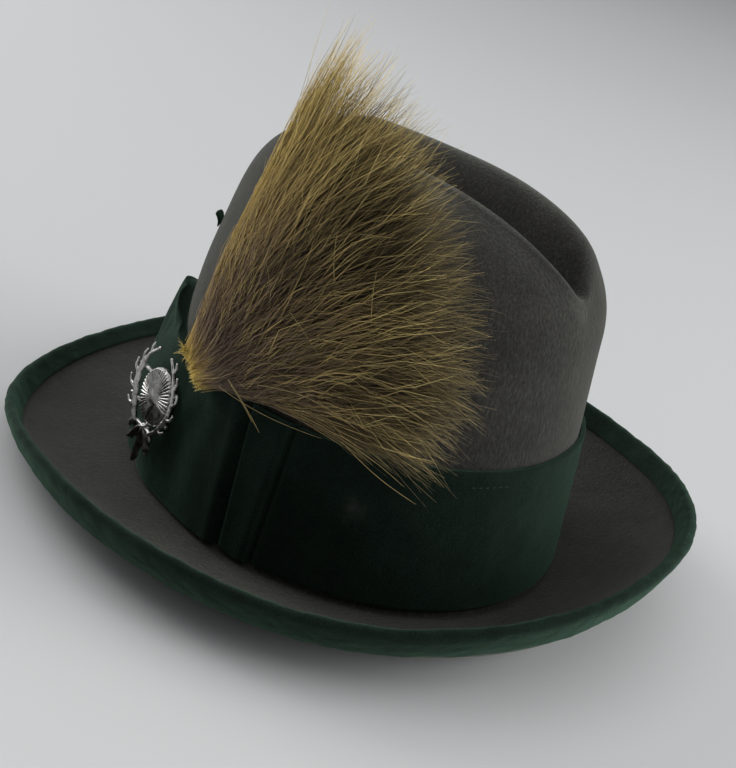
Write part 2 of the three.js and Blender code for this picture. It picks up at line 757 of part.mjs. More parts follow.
const bandSurface = (degrees, height) => {
  const rise = (height - bandFoot(degrees)) / bandHeight(degrees);
  return facetedWallPoint(degrees, height, FIT_GAP + bandThickness(degrees, rise));
};
const pinFrame = sideFrame(bandSurface, PIN.angle, PIN.height, PIN.lean);
const metal = new THREE.MeshStandardMaterial({ color: PIN_METAL, roughness: 0.35, metalness: 1 });
addPiece('hat_pin', placed(pinGeometry(), pinFrame, PIN.standOff), metal);

const feltSurfacePoint = (degrees, height) => pinched(facetedWallPoint(degrees, height, 0));
const tabFrame = sideFrame(feltSurfacePoint, TAB.angle, TAB.height, 0);
addPiece('front_tab', placed(tabGeometry(), tabFrame, FIT_GAP), cloth(BAND_GREEN));

export default hat;
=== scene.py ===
# %% [markdown]
# # A felt fedora with a hair brush and a pin
# The hat is blocked from one cone of grey felt, bound and banded in green cloth, and trimmed on the
# wearer's left with a fan of animal hair and a white-metal pin. The CAD model gives every piece its
# size and place. This lesson dresses it: each piece starts from its CAD solid or from the same named
# sizes, gets the shape that cloth, felt, hair and metal really take, and then its finish.

# %% Load the CAD frame
import math

import bpy
import numpy as np
import mathutils
from mathutils import Matrix, Vector
from mathutils.bvhtree import BVHTree


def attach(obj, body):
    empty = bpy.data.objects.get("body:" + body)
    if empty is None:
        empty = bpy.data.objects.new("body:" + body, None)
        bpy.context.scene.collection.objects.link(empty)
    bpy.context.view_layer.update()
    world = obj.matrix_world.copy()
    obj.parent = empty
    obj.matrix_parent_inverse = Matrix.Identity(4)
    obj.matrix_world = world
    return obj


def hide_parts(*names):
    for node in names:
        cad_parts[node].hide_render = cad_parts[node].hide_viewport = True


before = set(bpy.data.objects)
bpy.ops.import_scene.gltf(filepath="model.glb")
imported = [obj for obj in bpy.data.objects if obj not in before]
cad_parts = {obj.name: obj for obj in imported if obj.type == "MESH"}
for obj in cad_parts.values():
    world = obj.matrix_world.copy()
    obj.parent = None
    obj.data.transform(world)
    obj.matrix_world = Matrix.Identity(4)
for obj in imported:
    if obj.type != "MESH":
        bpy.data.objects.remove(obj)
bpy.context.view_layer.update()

# %% [markdown]
# ## The camera and the soft daylight
# The camera stands behind the wearer's left shoulder and looks down on the hat, rolled a little, as
# in the photograph. Its place was worked out from the rim's and the crown's outlines.

# %% Camera
IMAGE_LONG_SIDE = 768.0
FOCAL_PIXELS = 1423.9
SENSOR = 36.0
CAMERA_PLACE = (0.48377, 0.26164, 0.31026)
CAMERA_RIGHT = (-0.5536, 0.7988, 0.2353)
CAMERA_UP = (-0.2365, -0.4217, 0.8753)
CAMERA_BACK = (0.7985, 0.4289, 0.4224)

camera_data = bpy.data.cameras.new("camera")
camera_data.sensor_width = SENSOR
camera_data.lens = FOCAL_PIXELS * SENSOR / IMAGE_LONG_SIDE
camera_data.clip_start = 0.05
camera = bpy.data.objects.new("camera", camera_data)
bpy.context.scene.collection.objects.link(camera)
turned = Matrix((CAMERA_RIGHT, CAMERA_UP, CAMERA_BACK)).transposed()
camera.matrix_world = Matrix.Translation(CAMERA_PLACE) @ turned.to_4x4()
bpy.context.scene.camera = camera
print("lens", round(camera_data.lens, 2), "mm")

# %% [markdown]
# ## Helpers for work by hand
# Most of Blender's operators act on what is selected, so a small helper picks one object and puts
# everything else down first. Another takes a copy of a CAD node: its mesh is loose triangles, so
# they are merged and turned back into quads, which a subdivision surface rounds well.


# %% Picking one object
def pick(piece):
    if bpy.context.mode != "OBJECT":
        bpy.ops.object.mode_set(mode="OBJECT")
    bpy.ops.object.select_all(action="DESELECT")
    piece.hide_set(False)
    piece.select_set(True)
    bpy.context.view_layer.objects.active = piece


def new_piece(name, mesh):
    piece = bpy.data.objects.new(name, mesh)
    bpy.context.scene.collection.objects.link(piece)
    pick(piece)
    return piece


# %% A clean copy of a CAD solid
MERGE_DISTANCE = 2e-6
QUAD_ANGLE = math.radians(60)


def copy_of_node(node, name):
    piece = new_piece(name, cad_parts[node].data.copy())
    piece.data.materials.clear()
    bpy.ops.object.mode_set(mode="EDIT")
    bpy.ops.mesh.customdata_custom_splitnormals_clear()
    bpy.ops.mesh.select_all(action="SELECT")
    bpy.ops.mesh.remove_doubles(threshold=MERGE_DISTANCE)
    bpy.ops.mesh.tris_convert_to_quads(face_threshold=QUAD_ANGLE, shape_threshold=QUAD_ANGLE)
    bpy.ops.object.mode_set(mode="OBJECT")
    print(name, "starts with", len(piece.data.polygons), "faces")
    return piece


# %% Rounding with a subdivision surface
def rounded(piece, levels):
    pick(piece)
    modifier = piece.modifiers.new("rounded", "SUBSURF")
    modifier.levels = levels
    modifier.render_levels = levels
    bpy.ops.object.modifier_apply(modifier=modifier.name)
    bpy.ops.object.shade_smooth()
    print(piece.name, "has", len(piece.data.polygons), "faces")
    return piece


# %% Vertices as an array, and back
def vertex_array(piece):
    points = np.empty(len(piece.data.vertices) * 3)
    piece.data.vertices.foreach_get("co", points)
    return points.reshape(-1, 3)


def set_vertices(piece, points):
    piece.data.vertices.foreach_set("co", points.astype(np.float32).ravel())
    piece.data.update()


# %% Places on the crown, as the CAD names them
MILLIMETRE = 0.001
CAD_SHIFT = np.array([0.0, 3.2, 4.0])
CROWN = {"half_width": 83.6, "half_length": 95.2, "squareness": 2.12,
         "side_taper": 0.12, "front_taper": 0.20, "back_taper": 0.08}


def crown_terms(points):
    """Degrees from the front, height, and how far outside the crown's wall, for places in metres."""
    x, y, z = (points / MILLIMETRE - CAD_SHIFT).T
    half_width = CROWN["half_width"] - CROWN["side_taper"] * z
    taper = np.where(y < 0, CROWN["front_taper"], CROWN["back_taper"])
    reach = CROWN["half_length"] - taper * z
    power = CROWN["squareness"]
    across = np.sign(x) * (np.abs(x) / half_width) ** (power / 2)
    along = np.sign(y) * (np.abs(y) / reach) ** (power / 2)
    q = (across ** 2 + along ** 2) ** (1 / power)
    outside = (q - 1) / np.maximum(q, 1e-3) * np.hypot(x, y)
    return np.degrees(np.arctan2(across, -along)), z, outside


def outward(points):
    flat = points * np.array([1.0, 1.0, 0.0])
    return flat / (np.linalg.norm(flat, axis=1, keepdims=True) + 1e-9)


def smooth_step(low, high, value):
    part = np.clip((value - low) / (high - low), 0.0, 1.0)
    return part * part * (3 - 2 * part)


def bell(value, width):
    return np.exp(-(value / width) ** 2)


# %% [markdown]
# ## Materials
# Each finish is built from nodes. A small class adds each node with its values and wires it up, so
# that a material reads as a list of steps.


# %% Node helpers
def grey(value):
    return (value, value, value)


class Finish:
    """A material whose nodes are added one by one and end in a Principled shader."""

    def __init__(self, name, roughness, metallic=0.0):
        self.material = bpy.data.materials.new(name)
        self.material.use_nodes = True
        self.tree = self.material.node_tree
        self.shader = self.tree.nodes["Principled BSDF"]
        self.shader.inputs["Roughness"].default_value = roughness
        self.shader.inputs["Metallic"].default_value = metallic

    def set(self, **values):
        for name, value in values.items():
            self.shader.inputs[name.replace("_", " ")].default_value = value
        return self

    def node(self, kind, inputs=None, **settings):
        made = self.tree.nodes.new(kind)
        for name, value in settings.items():
            setattr(made, name, value)
        for name, value in (inputs or {}).items():
            if isinstance(value, bpy.types.NodeSocket):
                self.tree.links.new(value, made.inputs[name])
            else:
                made.inputs[name].default_value = value
        return made

    def object_place(self):
        return self.node("ShaderNodeTexCoord").outputs["Object"]

    def noise(self, vector, scale, detail=2.0, roughness=0.5, distortion=0.0):
        values = {"Vector": vector, "Scale": scale, "Detail": detail, "Roughness": roughness,
                  "Distortion": distortion}
        return self.node("ShaderNodeTexNoise", values).outputs["Fac"]

    def ramp(self, factor, stops):
        made = self.node("ShaderNodeValToRGB", {"Fac": factor})
        band = made.color_ramp
        while len(band.elements) < len(stops):
            band.elements.new(0.5)
        for element, (place, colour) in zip(band.elements, stops):
            element.position = place
            element.color = (*colour, 1.0)
        return made.outputs["Color"]

    def mixed(self, factor, first, second, blend="MIX"):
        made = self.node("ShaderNodeMix", data_type="RGBA", blend_type=blend)
        sockets = (made.inputs[0], made.inputs[6], made.inputs[7])
        for socket, value in zip(sockets, (factor, first, second)):
            if isinstance(value, bpy.types.NodeSocket):
                self.tree.links.new(value, socket)
            elif isinstance(value, float):
                socket.default_value = value
            else:
                socket.default_value = (*value, 1.0)
        return made.outputs[2]

    def math(self, operation, *values):
        made = self.node("ShaderNodeMath", operation=operation)
        for socket, value in zip(made.inputs, values):
            if isinstance(value, bpy.types.NodeSocket):
                self.tree.links.new(value, socket)
            else:
                socket.default_value = value
        return made.outputs[0]

    def attribute(self, name):
        return self.node("ShaderNodeAttribute", attribute_name=name).outputs["Fac"]

    def bump(self, height, distance, strength=1.0, under=None):
        values = {"Height": height, "Distance": distance, "Strength": strength}
        if under is not None:
            values["Normal"] = under
        return self.node("ShaderNodeBump", values).outputs["Normal"]

    def finish(self, colour, normal=None):
        self.tree.links.new(colour, self.shader.inputs["Base Color"])
        if normal is not None:
            self.tree.links.new(normal, self.shader.inputs["Normal"])
        return self.material


# %% [markdown]
# ### Brushed felt
# Fur felt has no weave. Its colour is a melange of darker and lighter fibres, so fine noise speckles
# it at under a millimetre, and wide soft noise shades it as if it had been stroked. The nap glows at
# grazing angles, which is what sheen is for, and a fine bump breaks the surface up.

# %% Felt finish
FELT_DARK = (0.019, 0.0182, 0.0165)
FELT_MIDDLE = (0.037, 0.0358, 0.0325)
FELT_LIGHT = (0.076, 0.074, 0.067)


def felt_finish():
    felt = Finish("brushed_felt", roughness=0.95)
    felt.set(Sheen_Weight=0.45, Sheen_Roughness=0.4, Sheen_Tint=(0.75, 0.77, 0.68, 1.0))
    felt.set(Specular_IOR_Level=0.15)
    place = felt.object_place()
    combed = felt.node("ShaderNodeMapping", {"Vector": place, "Scale": (1.0, 1.0, 0.32)}).outputs["Vector"]
    strokes = felt.noise(place, 34.0, detail=4.0, roughness=0.6)
    flecks = felt.noise(combed, 1150.0, detail=4.0, roughness=0.75, distortion=0.4)
    melange = felt.ramp(flecks, [(0.30, FELT_DARK), (0.50, FELT_MIDDLE), (0.74, FELT_LIGHT)])
    shade = felt.ramp(strokes, [(0.30, grey(0.74)), (0.70, (1.16, 1.16, 1.14))])
    colour = felt.mixed(1.0, melange, shade, "MULTIPLY")
    nap = felt.noise(combed, 700.0, detail=5.0, roughness=0.75, distortion=0.8)
    dents = felt.noise(place, 70.0, detail=2.0)
    normal = felt.bump(dents, 0.0012, 0.35)
    normal = felt.bump(nap, 0.0005, 0.8, under=normal)
    return felt.finish(colour, normal)


brushed_felt = felt_finish()
print("made", brushed_felt.name)

# %% [markdown]
# ### Green wool cloth
# The band and the binding are a thin felted wool in bottle green, so dark that most of what the eye
# sees is the light caught by its nap. Lint and worn fibres show as pale flecks.

# %% Cloth finish
CLOTH_DARK = (0.0040, 0.0072, 0.0056)
CLOTH_LIGHT = (0.0130, 0.0290, 0.0205)
LINT_COLOUR = (0.10, 0.12, 0.10)
WORN_COLOUR = (0.085, 0.09, 0.082)


def cloth_finish(name, sheen, worn_at=None):
    cloth = Finish(name, roughness=0.9)
    cloth.set(Sheen_Weight=sheen, Sheen_Roughness=0.4, Sheen_Tint=(0.36, 0.72, 0.48, 1.0))
    cloth.set(Specular_IOR_Level=0.12)
    place = cloth.object_place()
    fibres = cloth.noise(place, 1500.0, detail=4.0, roughness=0.75)
    patches = cloth.noise(place, 60.0, detail=3.0)
    base = cloth.ramp(fibres, [(0.35, CLOTH_DARK), (0.70, CLOTH_LIGHT)])
    shade = cloth.ramp(patches, [(0.3, grey(0.75)), (0.7, (1.35, 1.3, 1.3))])
    colour = cloth.mixed(1.0, base, shade, "MULTIPLY")
    lint = cloth.noise(place, 420.0, detail=6.0, roughness=0.8)
    specks = cloth.ramp(lint, [(0.70, grey(0.0)), (0.78, grey(1.0))])
    colour = cloth.mixed(cloth.math("MULTIPLY", specks, 0.35), colour, LINT_COLOUR)
    if worn_at is not None:
        away = cloth.node("ShaderNodeVectorMath", operation="DISTANCE")
        cloth.tree.links.new(place, away.inputs[0])
        away.inputs[1].default_value = worn_at
        ragged = cloth.math("MULTIPLY", cloth.noise(place, 260.0), 0.012)
        ring = cloth.math("ADD", away.outputs["Value"], ragged)
        worn = cloth.ramp(cloth.math("MULTIPLY", ring, 80.0), [(0.45, grey(0.3)), (1.0, grey(0.0))])
        colour = cloth.mixed(worn, colour, WORN_COLOUR)
    rumples = cloth.noise(place, 130.0, detail=3.0)
    normal = cloth.bump(rumples, 0.0012, 0.35)
    normal = cloth.bump(fibres, 0.0004, 0.7, under=normal)
    return cloth.finish(colour, normal)


# the band has one spot that is rubbed pale, at the wearer's left
WORN_SPOT = (0.0722, 0.0478, 0.0425)
band_cloth = cloth_finish("band_cloth", sheen=0.27, worn_at=WORN_SPOT)
binding_cloth = cloth_finish("binding_cloth", sheen=0.34)
print("made", band_cloth.name, "and", binding_cloth.name)

# %% [markdown]
# ### Hair
# Each hair carries three numbers in its mesh: how far along it a point is, a tone, and how golden it
# is. The tone is partly each hair's own and partly painted: painted shade deep in the fan and in its
# middle, and painted light at its upper edge. The root is golden, the shaft is grey brown, and the tip
# fades to straw. They are attributes, because a pattern in space couldn't tell one hair from the next.

# %% Hair finish
HAIR_ROOT = (0.84, 0.66, 0.18)
HAIR_SHAFT = (0.225, 0.158, 0.110)
HAIR_BEND = (0.34, 0.235, 0.095)
HAIR_TIP = (0.60, 0.475, 0.19)
HAIR_ALONG = [
    # part of the hair's length, colour there
    (0.0, HAIR_ROOT), (0.09, HAIR_BEND), (0.18, HAIR_SHAFT), (0.58, HAIR_SHAFT), (0.78, HAIR_BEND),
    (0.95, HAIR_TIP),
]
HAIR_TONES = [
    # tone, and what it multiplies the colour by
    (0.0, (0.11, 0.10, 0.10)), (0.45, (0.52, 0.50, 0.48)), (1.0, (2.0, 2.0, 1.9)),
]


def hair_finish():
    hair = Finish("stiff_hair", roughness=0.42)
    hair.set(Specular_IOR_Level=0.45, Sheen_Weight=0.15, Sheen_Roughness=0.3)
    along = hair.attribute("along")
    tone = hair.attribute("tone")
    gold = hair.attribute("gold")
    colour = hair.mixed(gold, hair.ramp(along, HAIR_ALONG), HAIR_TIP)
    # the tone holds each hair's own lightness, painted shade deep in the fan and painted light at its upper
    # edge
    colour = hair.mixed(1.0, colour, hair.ramp(tone, HAIR_TONES), "MULTIPLY")
    return hair.finish(colour)


stiff_hair = hair_finish()
print("made", stiff_hair.name)

# %% [markdown]
# ### Antiqued metal
# The pin is cast in white metal. Its raised parts are polished by wear and the hollows are left
# dark, so the colour follows how pointed or hollow the surface is. An attribute makes the plate in the
# middle darker and gives the leaf, which hangs in shade, painted shade.

# %% Pin finish
PIN_HOLLOW = (0.11, 0.108, 0.105)
PIN_POLISHED = (0.80, 0.79, 0.76)
# darker colour for the plate, and painted shade for the leaf
PIN_DARKENED = (0.055, 0.045, 0.042)
PIN_STAIN = (0.55, 0.53, 0.52)


def pin_finish():
    metal = Finish("antiqued_metal", roughness=0.3, metallic=1.0)
    place = metal.object_place()
    pointed = metal.node("ShaderNodeNewGeometry").outputs["Pointiness"]
    wear = metal.ramp(pointed, [(0.46, grey(0.0)), (0.53, grey(1.0))])
    tarnish = metal.noise(place, 500.0, detail=4.0)
    colour = metal.mixed(wear, PIN_HOLLOW, PIN_POLISHED)
    stains = metal.ramp(tarnish, [(0.35, PIN_STAIN), (0.6, grey(1.0))])
    colour = metal.mixed(1.0, colour, stains, "MULTIPLY")
    # the plate is made darker, and the leaf gets painted shade
    colour = metal.mixed(metal.attribute("plate_dark_leaf_shade"), colour, PIN_DARKENED)
    roughness = metal.ramp(tarnish, [(0.3, grey(0.22)), (0.7, grey(0.45))])
    metal.tree.links.new(roughness, metal.shader.inputs["Roughness"])
    normal = metal.bump(metal.noise(place, 1800.0, detail=3.0), 0.0001, 0.6)
    return metal.finish(colour, normal)


antiqued_metal = pin_finish()
print("made", antiqued_metal.name)

# %% [markdown]
# ## The felt body
# Crown and brim are one shell, which was steamed over a block and then creased by hand. It could be
# sculpted or draped, but the CAD solid has every main form of it already, so a copy is rounded by a
# subdivision surface. An edge crease keeps the ridge beside the centre crease keen, and a few soft
# moves give the crown what a hand gives it: a fuller front, a rounder far ridge and a sunken back lip.

# %% Sizes of the crown's top, in mm in the CAD's axes
COLUMNS = 56
RIDGE = {"half_width": 22, "narrowing": 0.035, "front": -58, "back": 79, "squareness": 2.7}
DOME = {"shoulder": 100.0, "top": 155.0, "front_rise": 4.0, "back_roundness": 2.3, "front_roundness": 3.1}
FRONT_FULLNESS = {"angle": 27.0, "height": 94.0, "spread": 24.0, "rise": 25.0, "push": 2.6}
# each pair is where a change fades in, from nothing to all of it
FAR_RIDGE = {"at": -22.0, "width": 11.0, "shift": 8.5, "fill": 4.0, "fill_at": -14.0, "fill_width": 7.0,
             "from_front": (-66, -40), "from_back": (86, 66), "up": (108, 122)}
NEAR_RIDGE = {"rise": 1.1, "width": 2.0, "across": (-14, 4), "from_front": (-60, -30), "crease": 0.5}
BACK_LIP = {"at": 79.0, "width": 10.0, "depth": 4.2, "from_left": (13, -3), "from_right": (-27, -11),
            "up": (112, 126)}
# in metres: how close to the ridge's line a vertex counts, above what height, and on which side
RIDGE_SEARCH = {"near": 0.0025, "above": 0.12, "left_of": -0.010}
# in metres: the crown's top is reshaped above this height
TOP_FROM = 0.112


def ridge_places(count):
    middle = (RIDGE["front"] + RIDGE["back"]) / 2
    half = (RIDGE["back"] - RIDGE["front"]) / 2
    turn = 2 * math.pi * np.arange(count) / count
    power = 2 / RIDGE["squareness"]
    across = np.sign(np.sin(turn)) * np.abs(np.sin(turn)) ** power
    along = -np.sign(np.cos(turn)) * np.abs(np.cos(turn)) ** power * half
    x = across * (RIDGE["half_width"] - RIDGE["narrowing"] * along)
    return np.stack([x, middle + along + CAD_SHIFT[1]], axis=1) * MILLIMETRE


# %% The keen ridge
def crease_ridge(piece, crease):
    """The crown's outer skin turns sharply along the ridge round the centre crease."""
    points = vertex_array(piece)
    near = np.zeros(len(points), bool)
    too_low = points[:, 2] <= RIDGE_SEARCH["above"]
    for place in ridge_places(COLUMNS):
        gap = np.hypot(*(points[:, :2] - place).T) + too_low
        candidates = np.flatnonzero(gap < RIDGE_SEARCH["near"])
        if len(candidates) and place[0] > RIDGE_SEARCH["left_of"]:
            near[candidates[np.argmax(points[candidates, 2])]] = True
    layer = piece.data.attributes.new("crease_edge", "FLOAT", "EDGE")
    ends = np.empty(len(piece.data.edges) * 2, np.int32)
    piece.data.edges.foreach_get("vertices", ends)
    ends = ends.reshape(-1, 2)
    on_ridge = near[ends[:, 0]] & near[ends[:, 1]]
    layer.data.foreach_set("value", np.where(on_ridge, crease, 0.0).astype(np.float32))
    print("the ridge has", int(on_ridge.sum()), "edges")


# %% What a hand gives the crown
def dome_height(x, y):
    """The crown's top without its crease, in mm, as in the CAD."""
    half_width = CROWN["half_width"] - CROWN["side_taper"] * DOME["shoulder"]
    taper = np.where(y < 0, CROWN["front_taper"], CROWN["back_taper"])
    reach = CROWN["half_length"] - taper * DOME["shoulder"]
    power = CROWN["squareness"]
    q = np.minimum(((np.abs(x) / half_width) ** power + (np.abs(y) / reach) ** power) ** (1 / power), 1.0)
    eased = smooth_step(0.0, 1.0, -y / reach)
    roundness = DOME["back_roundness"] + (DOME["front_roundness"] - DOME["back_roundness"]) * eased
    top = DOME["top"] + DOME["front_rise"] * eased
    return DOME["shoulder"] + (top - DOME["shoulder"]) * (1 - q ** roundness) ** (1 / roundness)


def distance_to_loop(places, loop):
    """How far each place is from a closed line of places, in metres."""
    best = np.full(len(places), 1.0)
    for start, end in zip(loop, np.roll(loop, -1, axis=0)):
        span = end - start
        part = np.clip((places - start) @ span / (span @ span), 0, 1)[:, None]
        best = np.minimum(best, np.linalg.norm(places - start - part * span, axis=1))
    return best


def shape_crown(points):
    """A fuller front, a soft far ridge, a keen near ridge and a sunken back lip."""
    angle, height, _ = crown_terms(points)
    push = FRONT_FULLNESS["push"] * bell(angle - FRONT_FULLNESS["angle"], FRONT_FULLNESS["spread"])
    push *= bell(height - FRONT_FULLNESS["height"], FRONT_FULLNESS["rise"])
    moved = points + outward(points) * push[:, None] * MILLIMETRE
    top = moved[:, 2] > TOP_FROM
    x, y, z = (moved[top] / MILLIMETRE - CAD_SHIFT).T
    near = distance_to_loop(moved[top][:, :2], ridge_places(2 * COLUMNS)) / MILLIMETRE
    window = smooth_step(*FAR_RIDGE["from_front"], y) * smooth_step(*FAR_RIDGE["from_back"], y)
    window *= smooth_step(*FAR_RIDGE["up"], z)
    shift = -FAR_RIDGE["shift"] * bell(x - FAR_RIDGE["at"], FAR_RIDGE["width"]) * window
    below = z - dome_height(x, y)
    new_x = x + shift
    new_z = below + dome_height(new_x, y)
    new_z += FAR_RIDGE["fill"] * bell(x - FAR_RIDGE["fill_at"], FAR_RIDGE["fill_width"]) * window
    keen = smooth_step(*NEAR_RIDGE["across"], x) * smooth_step(*NEAR_RIDGE["from_front"], y)
    new_z += NEAR_RIDGE["rise"] * bell(near, NEAR_RIDGE["width"]) * keen
    sunk = smooth_step(*BACK_LIP["from_left"], x) * smooth_step(*BACK_LIP["from_right"], x)
    sunk *= smooth_step(*BACK_LIP["up"], z)
    new_z -= BACK_LIP["depth"] * sunk * bell(y - BACK_LIP["at"], BACK_LIP["width"])
    moved[top] = (np.stack([new_x, y, new_z], axis=1) + CAD_SHIFT) * MILLIMETRE
    return moved


# %% Felt body
felt = copy_of_node("felt_body", "felt_shell")
crease_ridge(felt, NEAR_RIDGE["crease"])
felt = rounded(felt, 2)
set_vertices(felt, shape_crown(vertex_array(felt)))
felt.data.materials.append(brushed_felt)
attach(felt, "root")
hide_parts("felt_body")

# %% [markdown]
# ## The brim binding
# A strip of the green cloth is folded over the brim's edge and sewn down by hand, so it puckers. The
# fold is in the CAD solid. A copy is rounded, and smooth noise at three sizes swells and dents the
# face that is turned away from the felt, while the face that lies on the felt stays where it is. A
# cloth simulation would have nothing to drape, because the strip is sewn down all round.

# %% Puckers
BINDING_PUCKERS = [
    # width of the bumps in metres, where the noise is read, height in mm
    (0.011, 3.0, 0.35), (0.0042, 9.0, 0.26), (0.0018, 17.0, 0.12),
]
BINDING_FULLNESS = 0.15
BINDING_CLEAR = 0.0007


def soft_noise(points, size, seed):
    """Smooth random values in -1..1, whose bumps are about size metres wide."""
    return np.array([mathutils.noise.noise(Vector(point / size + seed)) for point in points])


def rumples(points, table):
    return sum(height * soft_noise(points, size, seed) for size, seed, height in table)


def surface_of(piece):
    points = [vertex.co.copy() for vertex in piece.data.vertices]
    return BVHTree.FromPolygons(points, [tuple(face.vertices) for face in piece.data.polygons])


def distance_from(tree, points):
    return np.array([tree.find_nearest(Vector(point))[3] for point in points])


def vertex_normals(piece):
    normals = np.empty(len(piece.data.vertices) * 3)
    piece.data.vertices.foreach_get("normal", normals)
    return normals.reshape(-1, 3)


def pucker(piece, under, clear):
    """Cloth that was sewn by hand puckers. Only the face that is turned away from the felt moves."""
    points = vertex_array(piece)
    outer = smooth_step(clear, clear * 1.6, distance_from(under, points))
    push = (BINDING_FULLNESS + rumples(points, BINDING_PUCKERS)) * outer
    set_vertices(piece, points + vertex_normals(piece) * push[:, None] * MILLIMETRE)


# %% Brim binding
binding = rounded(copy_of_node("brim_binding", "bound_edge"), 3)
pucker(binding, surface_of(felt), BINDING_CLEAR)
binding.data.materials.append(binding_cloth)
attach(binding, "root")
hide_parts("brim_binding")

# %% [markdown]
# ## The hat band
# The band is one wide strip of the cloth, laid in two knife pleats on the wearer's left and gathered
# into a knot at the front. The pleats' steps are in the CAD solid, so a copy keeps them sharp with edge
# creases while the rest is rounded. Then the outer face moves in and out: a groove along each pleat,
# soft folds, dents in the knot and fine rumples.

# %% Folds of the band, in degrees from the front and mm
BAND = {"height": 60.0, "foot": 0.1, "back_rise": 3.1, "knot_angle": 27.0, "knot_height": 10.0,
        "knot_spread": 17.0}
PLEAT_LINES = [
    # degrees from the front at the foot and the head
    (88.0, 86.0), (96.5, 98.0),
]
PLEAT_GROOVE = {"at": 0.5, "depth": 1.8, "width": 0.9, "sag": 0.45, "sag_reach": 1.6,
                "swell": 0.35, "swell_at": 2.0, "swell_width": 1.3}
SOFT_FOLDS = [
    # degrees from the front at the foot and the head, half width in degrees, height in mm
    (79.0, 75.0, 4.0, 0.5), (70.0, 62.0, 4.5, -0.9), (60.0, 70.0, 4.0, 0.6), (112.0, 120.0, 7.0, -0.5),
    (47.0, 40.0, 4.0, -1.4), (38.0, 33.0, 3.5, 1.0), (31.0, 30.0, 2.6, -1.8), (24.0, 24.0, 3.5, 0.8),
]
KNOT_PEAK = {"angle": 24.0, "spread": 13.0, "rise": 4.5, "from": 0.7}
KNOT_DENTS = [
    # degrees from the front, height, half width in degrees, half height, depth in mm
    (36.0, 58.0, 5.0, 5.0, 2.6), (30.0, 46.0, 5.0, 6.0, 1.8), (43.0, 68.0, 3.0, 7.0, 2.4),
]
BAND_RUMPLES = [
    # width of the bumps in metres, where the noise is read, height in mm
    (0.019, 5.0, 0.22), (0.006, 2.0, 0.10),
]
# the inner part of a thick top edge sinks, so that the cloth's fold shows: where, and how deep
TOP_EDGE = {"rise": (0.955, 0.985), "off_wall": (0.45, 0.9), "off_face": (0.8, 1.35),
            "thin": 2.6, "share": 0.35, "deepest": 2.2, "angles": (76.0, 68.0)}
# how far off the crown's wall the outer face starts to move, and where it moves fully
OUTER_FACE = (0.6, 1.6)
BAND_CREASE = {"from_degrees": 32.0, "value": 0.75}


# %% Sharp edges stay sharp
def crease_sharp_edges(piece, degrees, crease):
    pick(piece)
    bpy.ops.object.mode_set(mode="EDIT")
    bpy.ops.mesh.select_all(action="DESELECT")
    bpy.ops.mesh.select_mode(type="EDGE")
    bpy.ops.mesh.edges_select_sharp(sharpness=math.radians(degrees))
    bpy.ops.transform.edge_crease(value=crease)
    bpy.ops.object.mode_set(mode="OBJECT")


# %% Folding the band
def band_foot(angle):
    return BAND["foot"] + BAND["back_rise"] * ((1 - np.cos(np.radians(angle))) / 2) ** 2


def thickness_at_top(angle, rise, outside):
    """The band's thickness at its top edge, degree by degree."""
    degrees = np.arange(-180, 181, 3)
    near_top = rise > 0.93
    found = [outside[near_top & (np.abs(angle - degree) < 3.0)].max(initial=2.0) for degree in degrees]
    return degrees, np.array(found)


def pleat_push(ahead):
    """How far the cloth near a pleat's edge stands out, for degrees ahead of that edge."""
    push = -PLEAT_GROOVE["depth"] * bell(ahead + PLEAT_GROOVE["at"], PLEAT_GROOVE["width"])
    sag = PLEAT_GROOVE["sag"] * np.exp(-np.abs(ahead) / PLEAT_GROOVE["sag_reach"])
    push -= np.where(ahead < 0, sag, 0.0)
    swell = PLEAT_GROOVE["swell"] * bell(ahead - PLEAT_GROOVE["swell_at"], PLEAT_GROOVE["swell_width"])
    return push + swell


def fold_band(piece):
    points = vertex_array(piece)
    angle, height, outside = crown_terms(points)
    knot = bell(angle - BAND["knot_angle"], BAND["knot_spread"])
    rise = (height - band_foot(angle)) / (BAND["height"] + BAND["knot_height"] * knot)
    face = smooth_step(*OUTER_FACE, outside)
    push = np.zeros(len(points))
    for at_foot, at_head in PLEAT_LINES:
        push += pleat_push(at_foot + (at_head - at_foot) * rise - angle)
    for at_foot, at_head, half_width, fold in SOFT_FOLDS:
        line = at_foot + (at_head - at_foot) * rise + 1.5 * np.sin(5.0 * rise + at_foot)
        push += fold * bell(angle - line, half_width) * (0.55 + 0.45 * np.sin(3.0 * rise + at_head))
    for at_angle, at_height, half_width, half_height, depth in KNOT_DENTS:
        push -= depth * bell(angle - at_angle, half_width) * bell(height - at_height, half_height)
    push += rumples(points, BAND_RUMPLES)
    moved = points + outward(points) * (push * face)[:, None] * MILLIMETRE
    top = smooth_step(*TOP_EDGE["rise"], rise)
    full = np.interp(angle, *thickness_at_top(angle, rise, outside))
    gap = smooth_step(*TOP_EDGE["off_wall"], outside) * smooth_step(*TOP_EDGE["off_face"], full - outside)
    deep = np.clip(TOP_EDGE["share"] * (full - TOP_EDGE["thin"]), 0.0, TOP_EDGE["deepest"])
    deep = deep * smooth_step(*TOP_EDGE["angles"], np.abs(angle))
    moved[:, 2] -= top * gap * deep * MILLIMETRE
    peak = KNOT_PEAK["rise"] * bell(angle - KNOT_PEAK["angle"], KNOT_PEAK["spread"])
    moved[:, 2] += peak * smooth_step(KNOT_PEAK["from"], 1.0, rise) * MILLIMETRE
    set_vertices(piece, moved)


# %% Hat band
band = copy_of_node("hat_band", "pleated_band")
crease_sharp_edges(band, BAND_CREASE["from_degrees"], BAND_CREASE["value"])
band = rounded(band, 3)
fold_band(band)
band.data.materials.append(band_cloth)
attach(band, "root")
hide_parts("hat_band")

# %% [markdown]
# ## The hair brush
# A brush of this kind is thousands of stiff hairs bound at one end, which spread into a fan. They
# cling in wisps, wave a little and cross, and many end short of the fan's edge, so that their light
# tips lie over the dark depth of the brush. Each hair starts on the bound root's line and bends along
# the fan's flat surface to its own point of the outline.

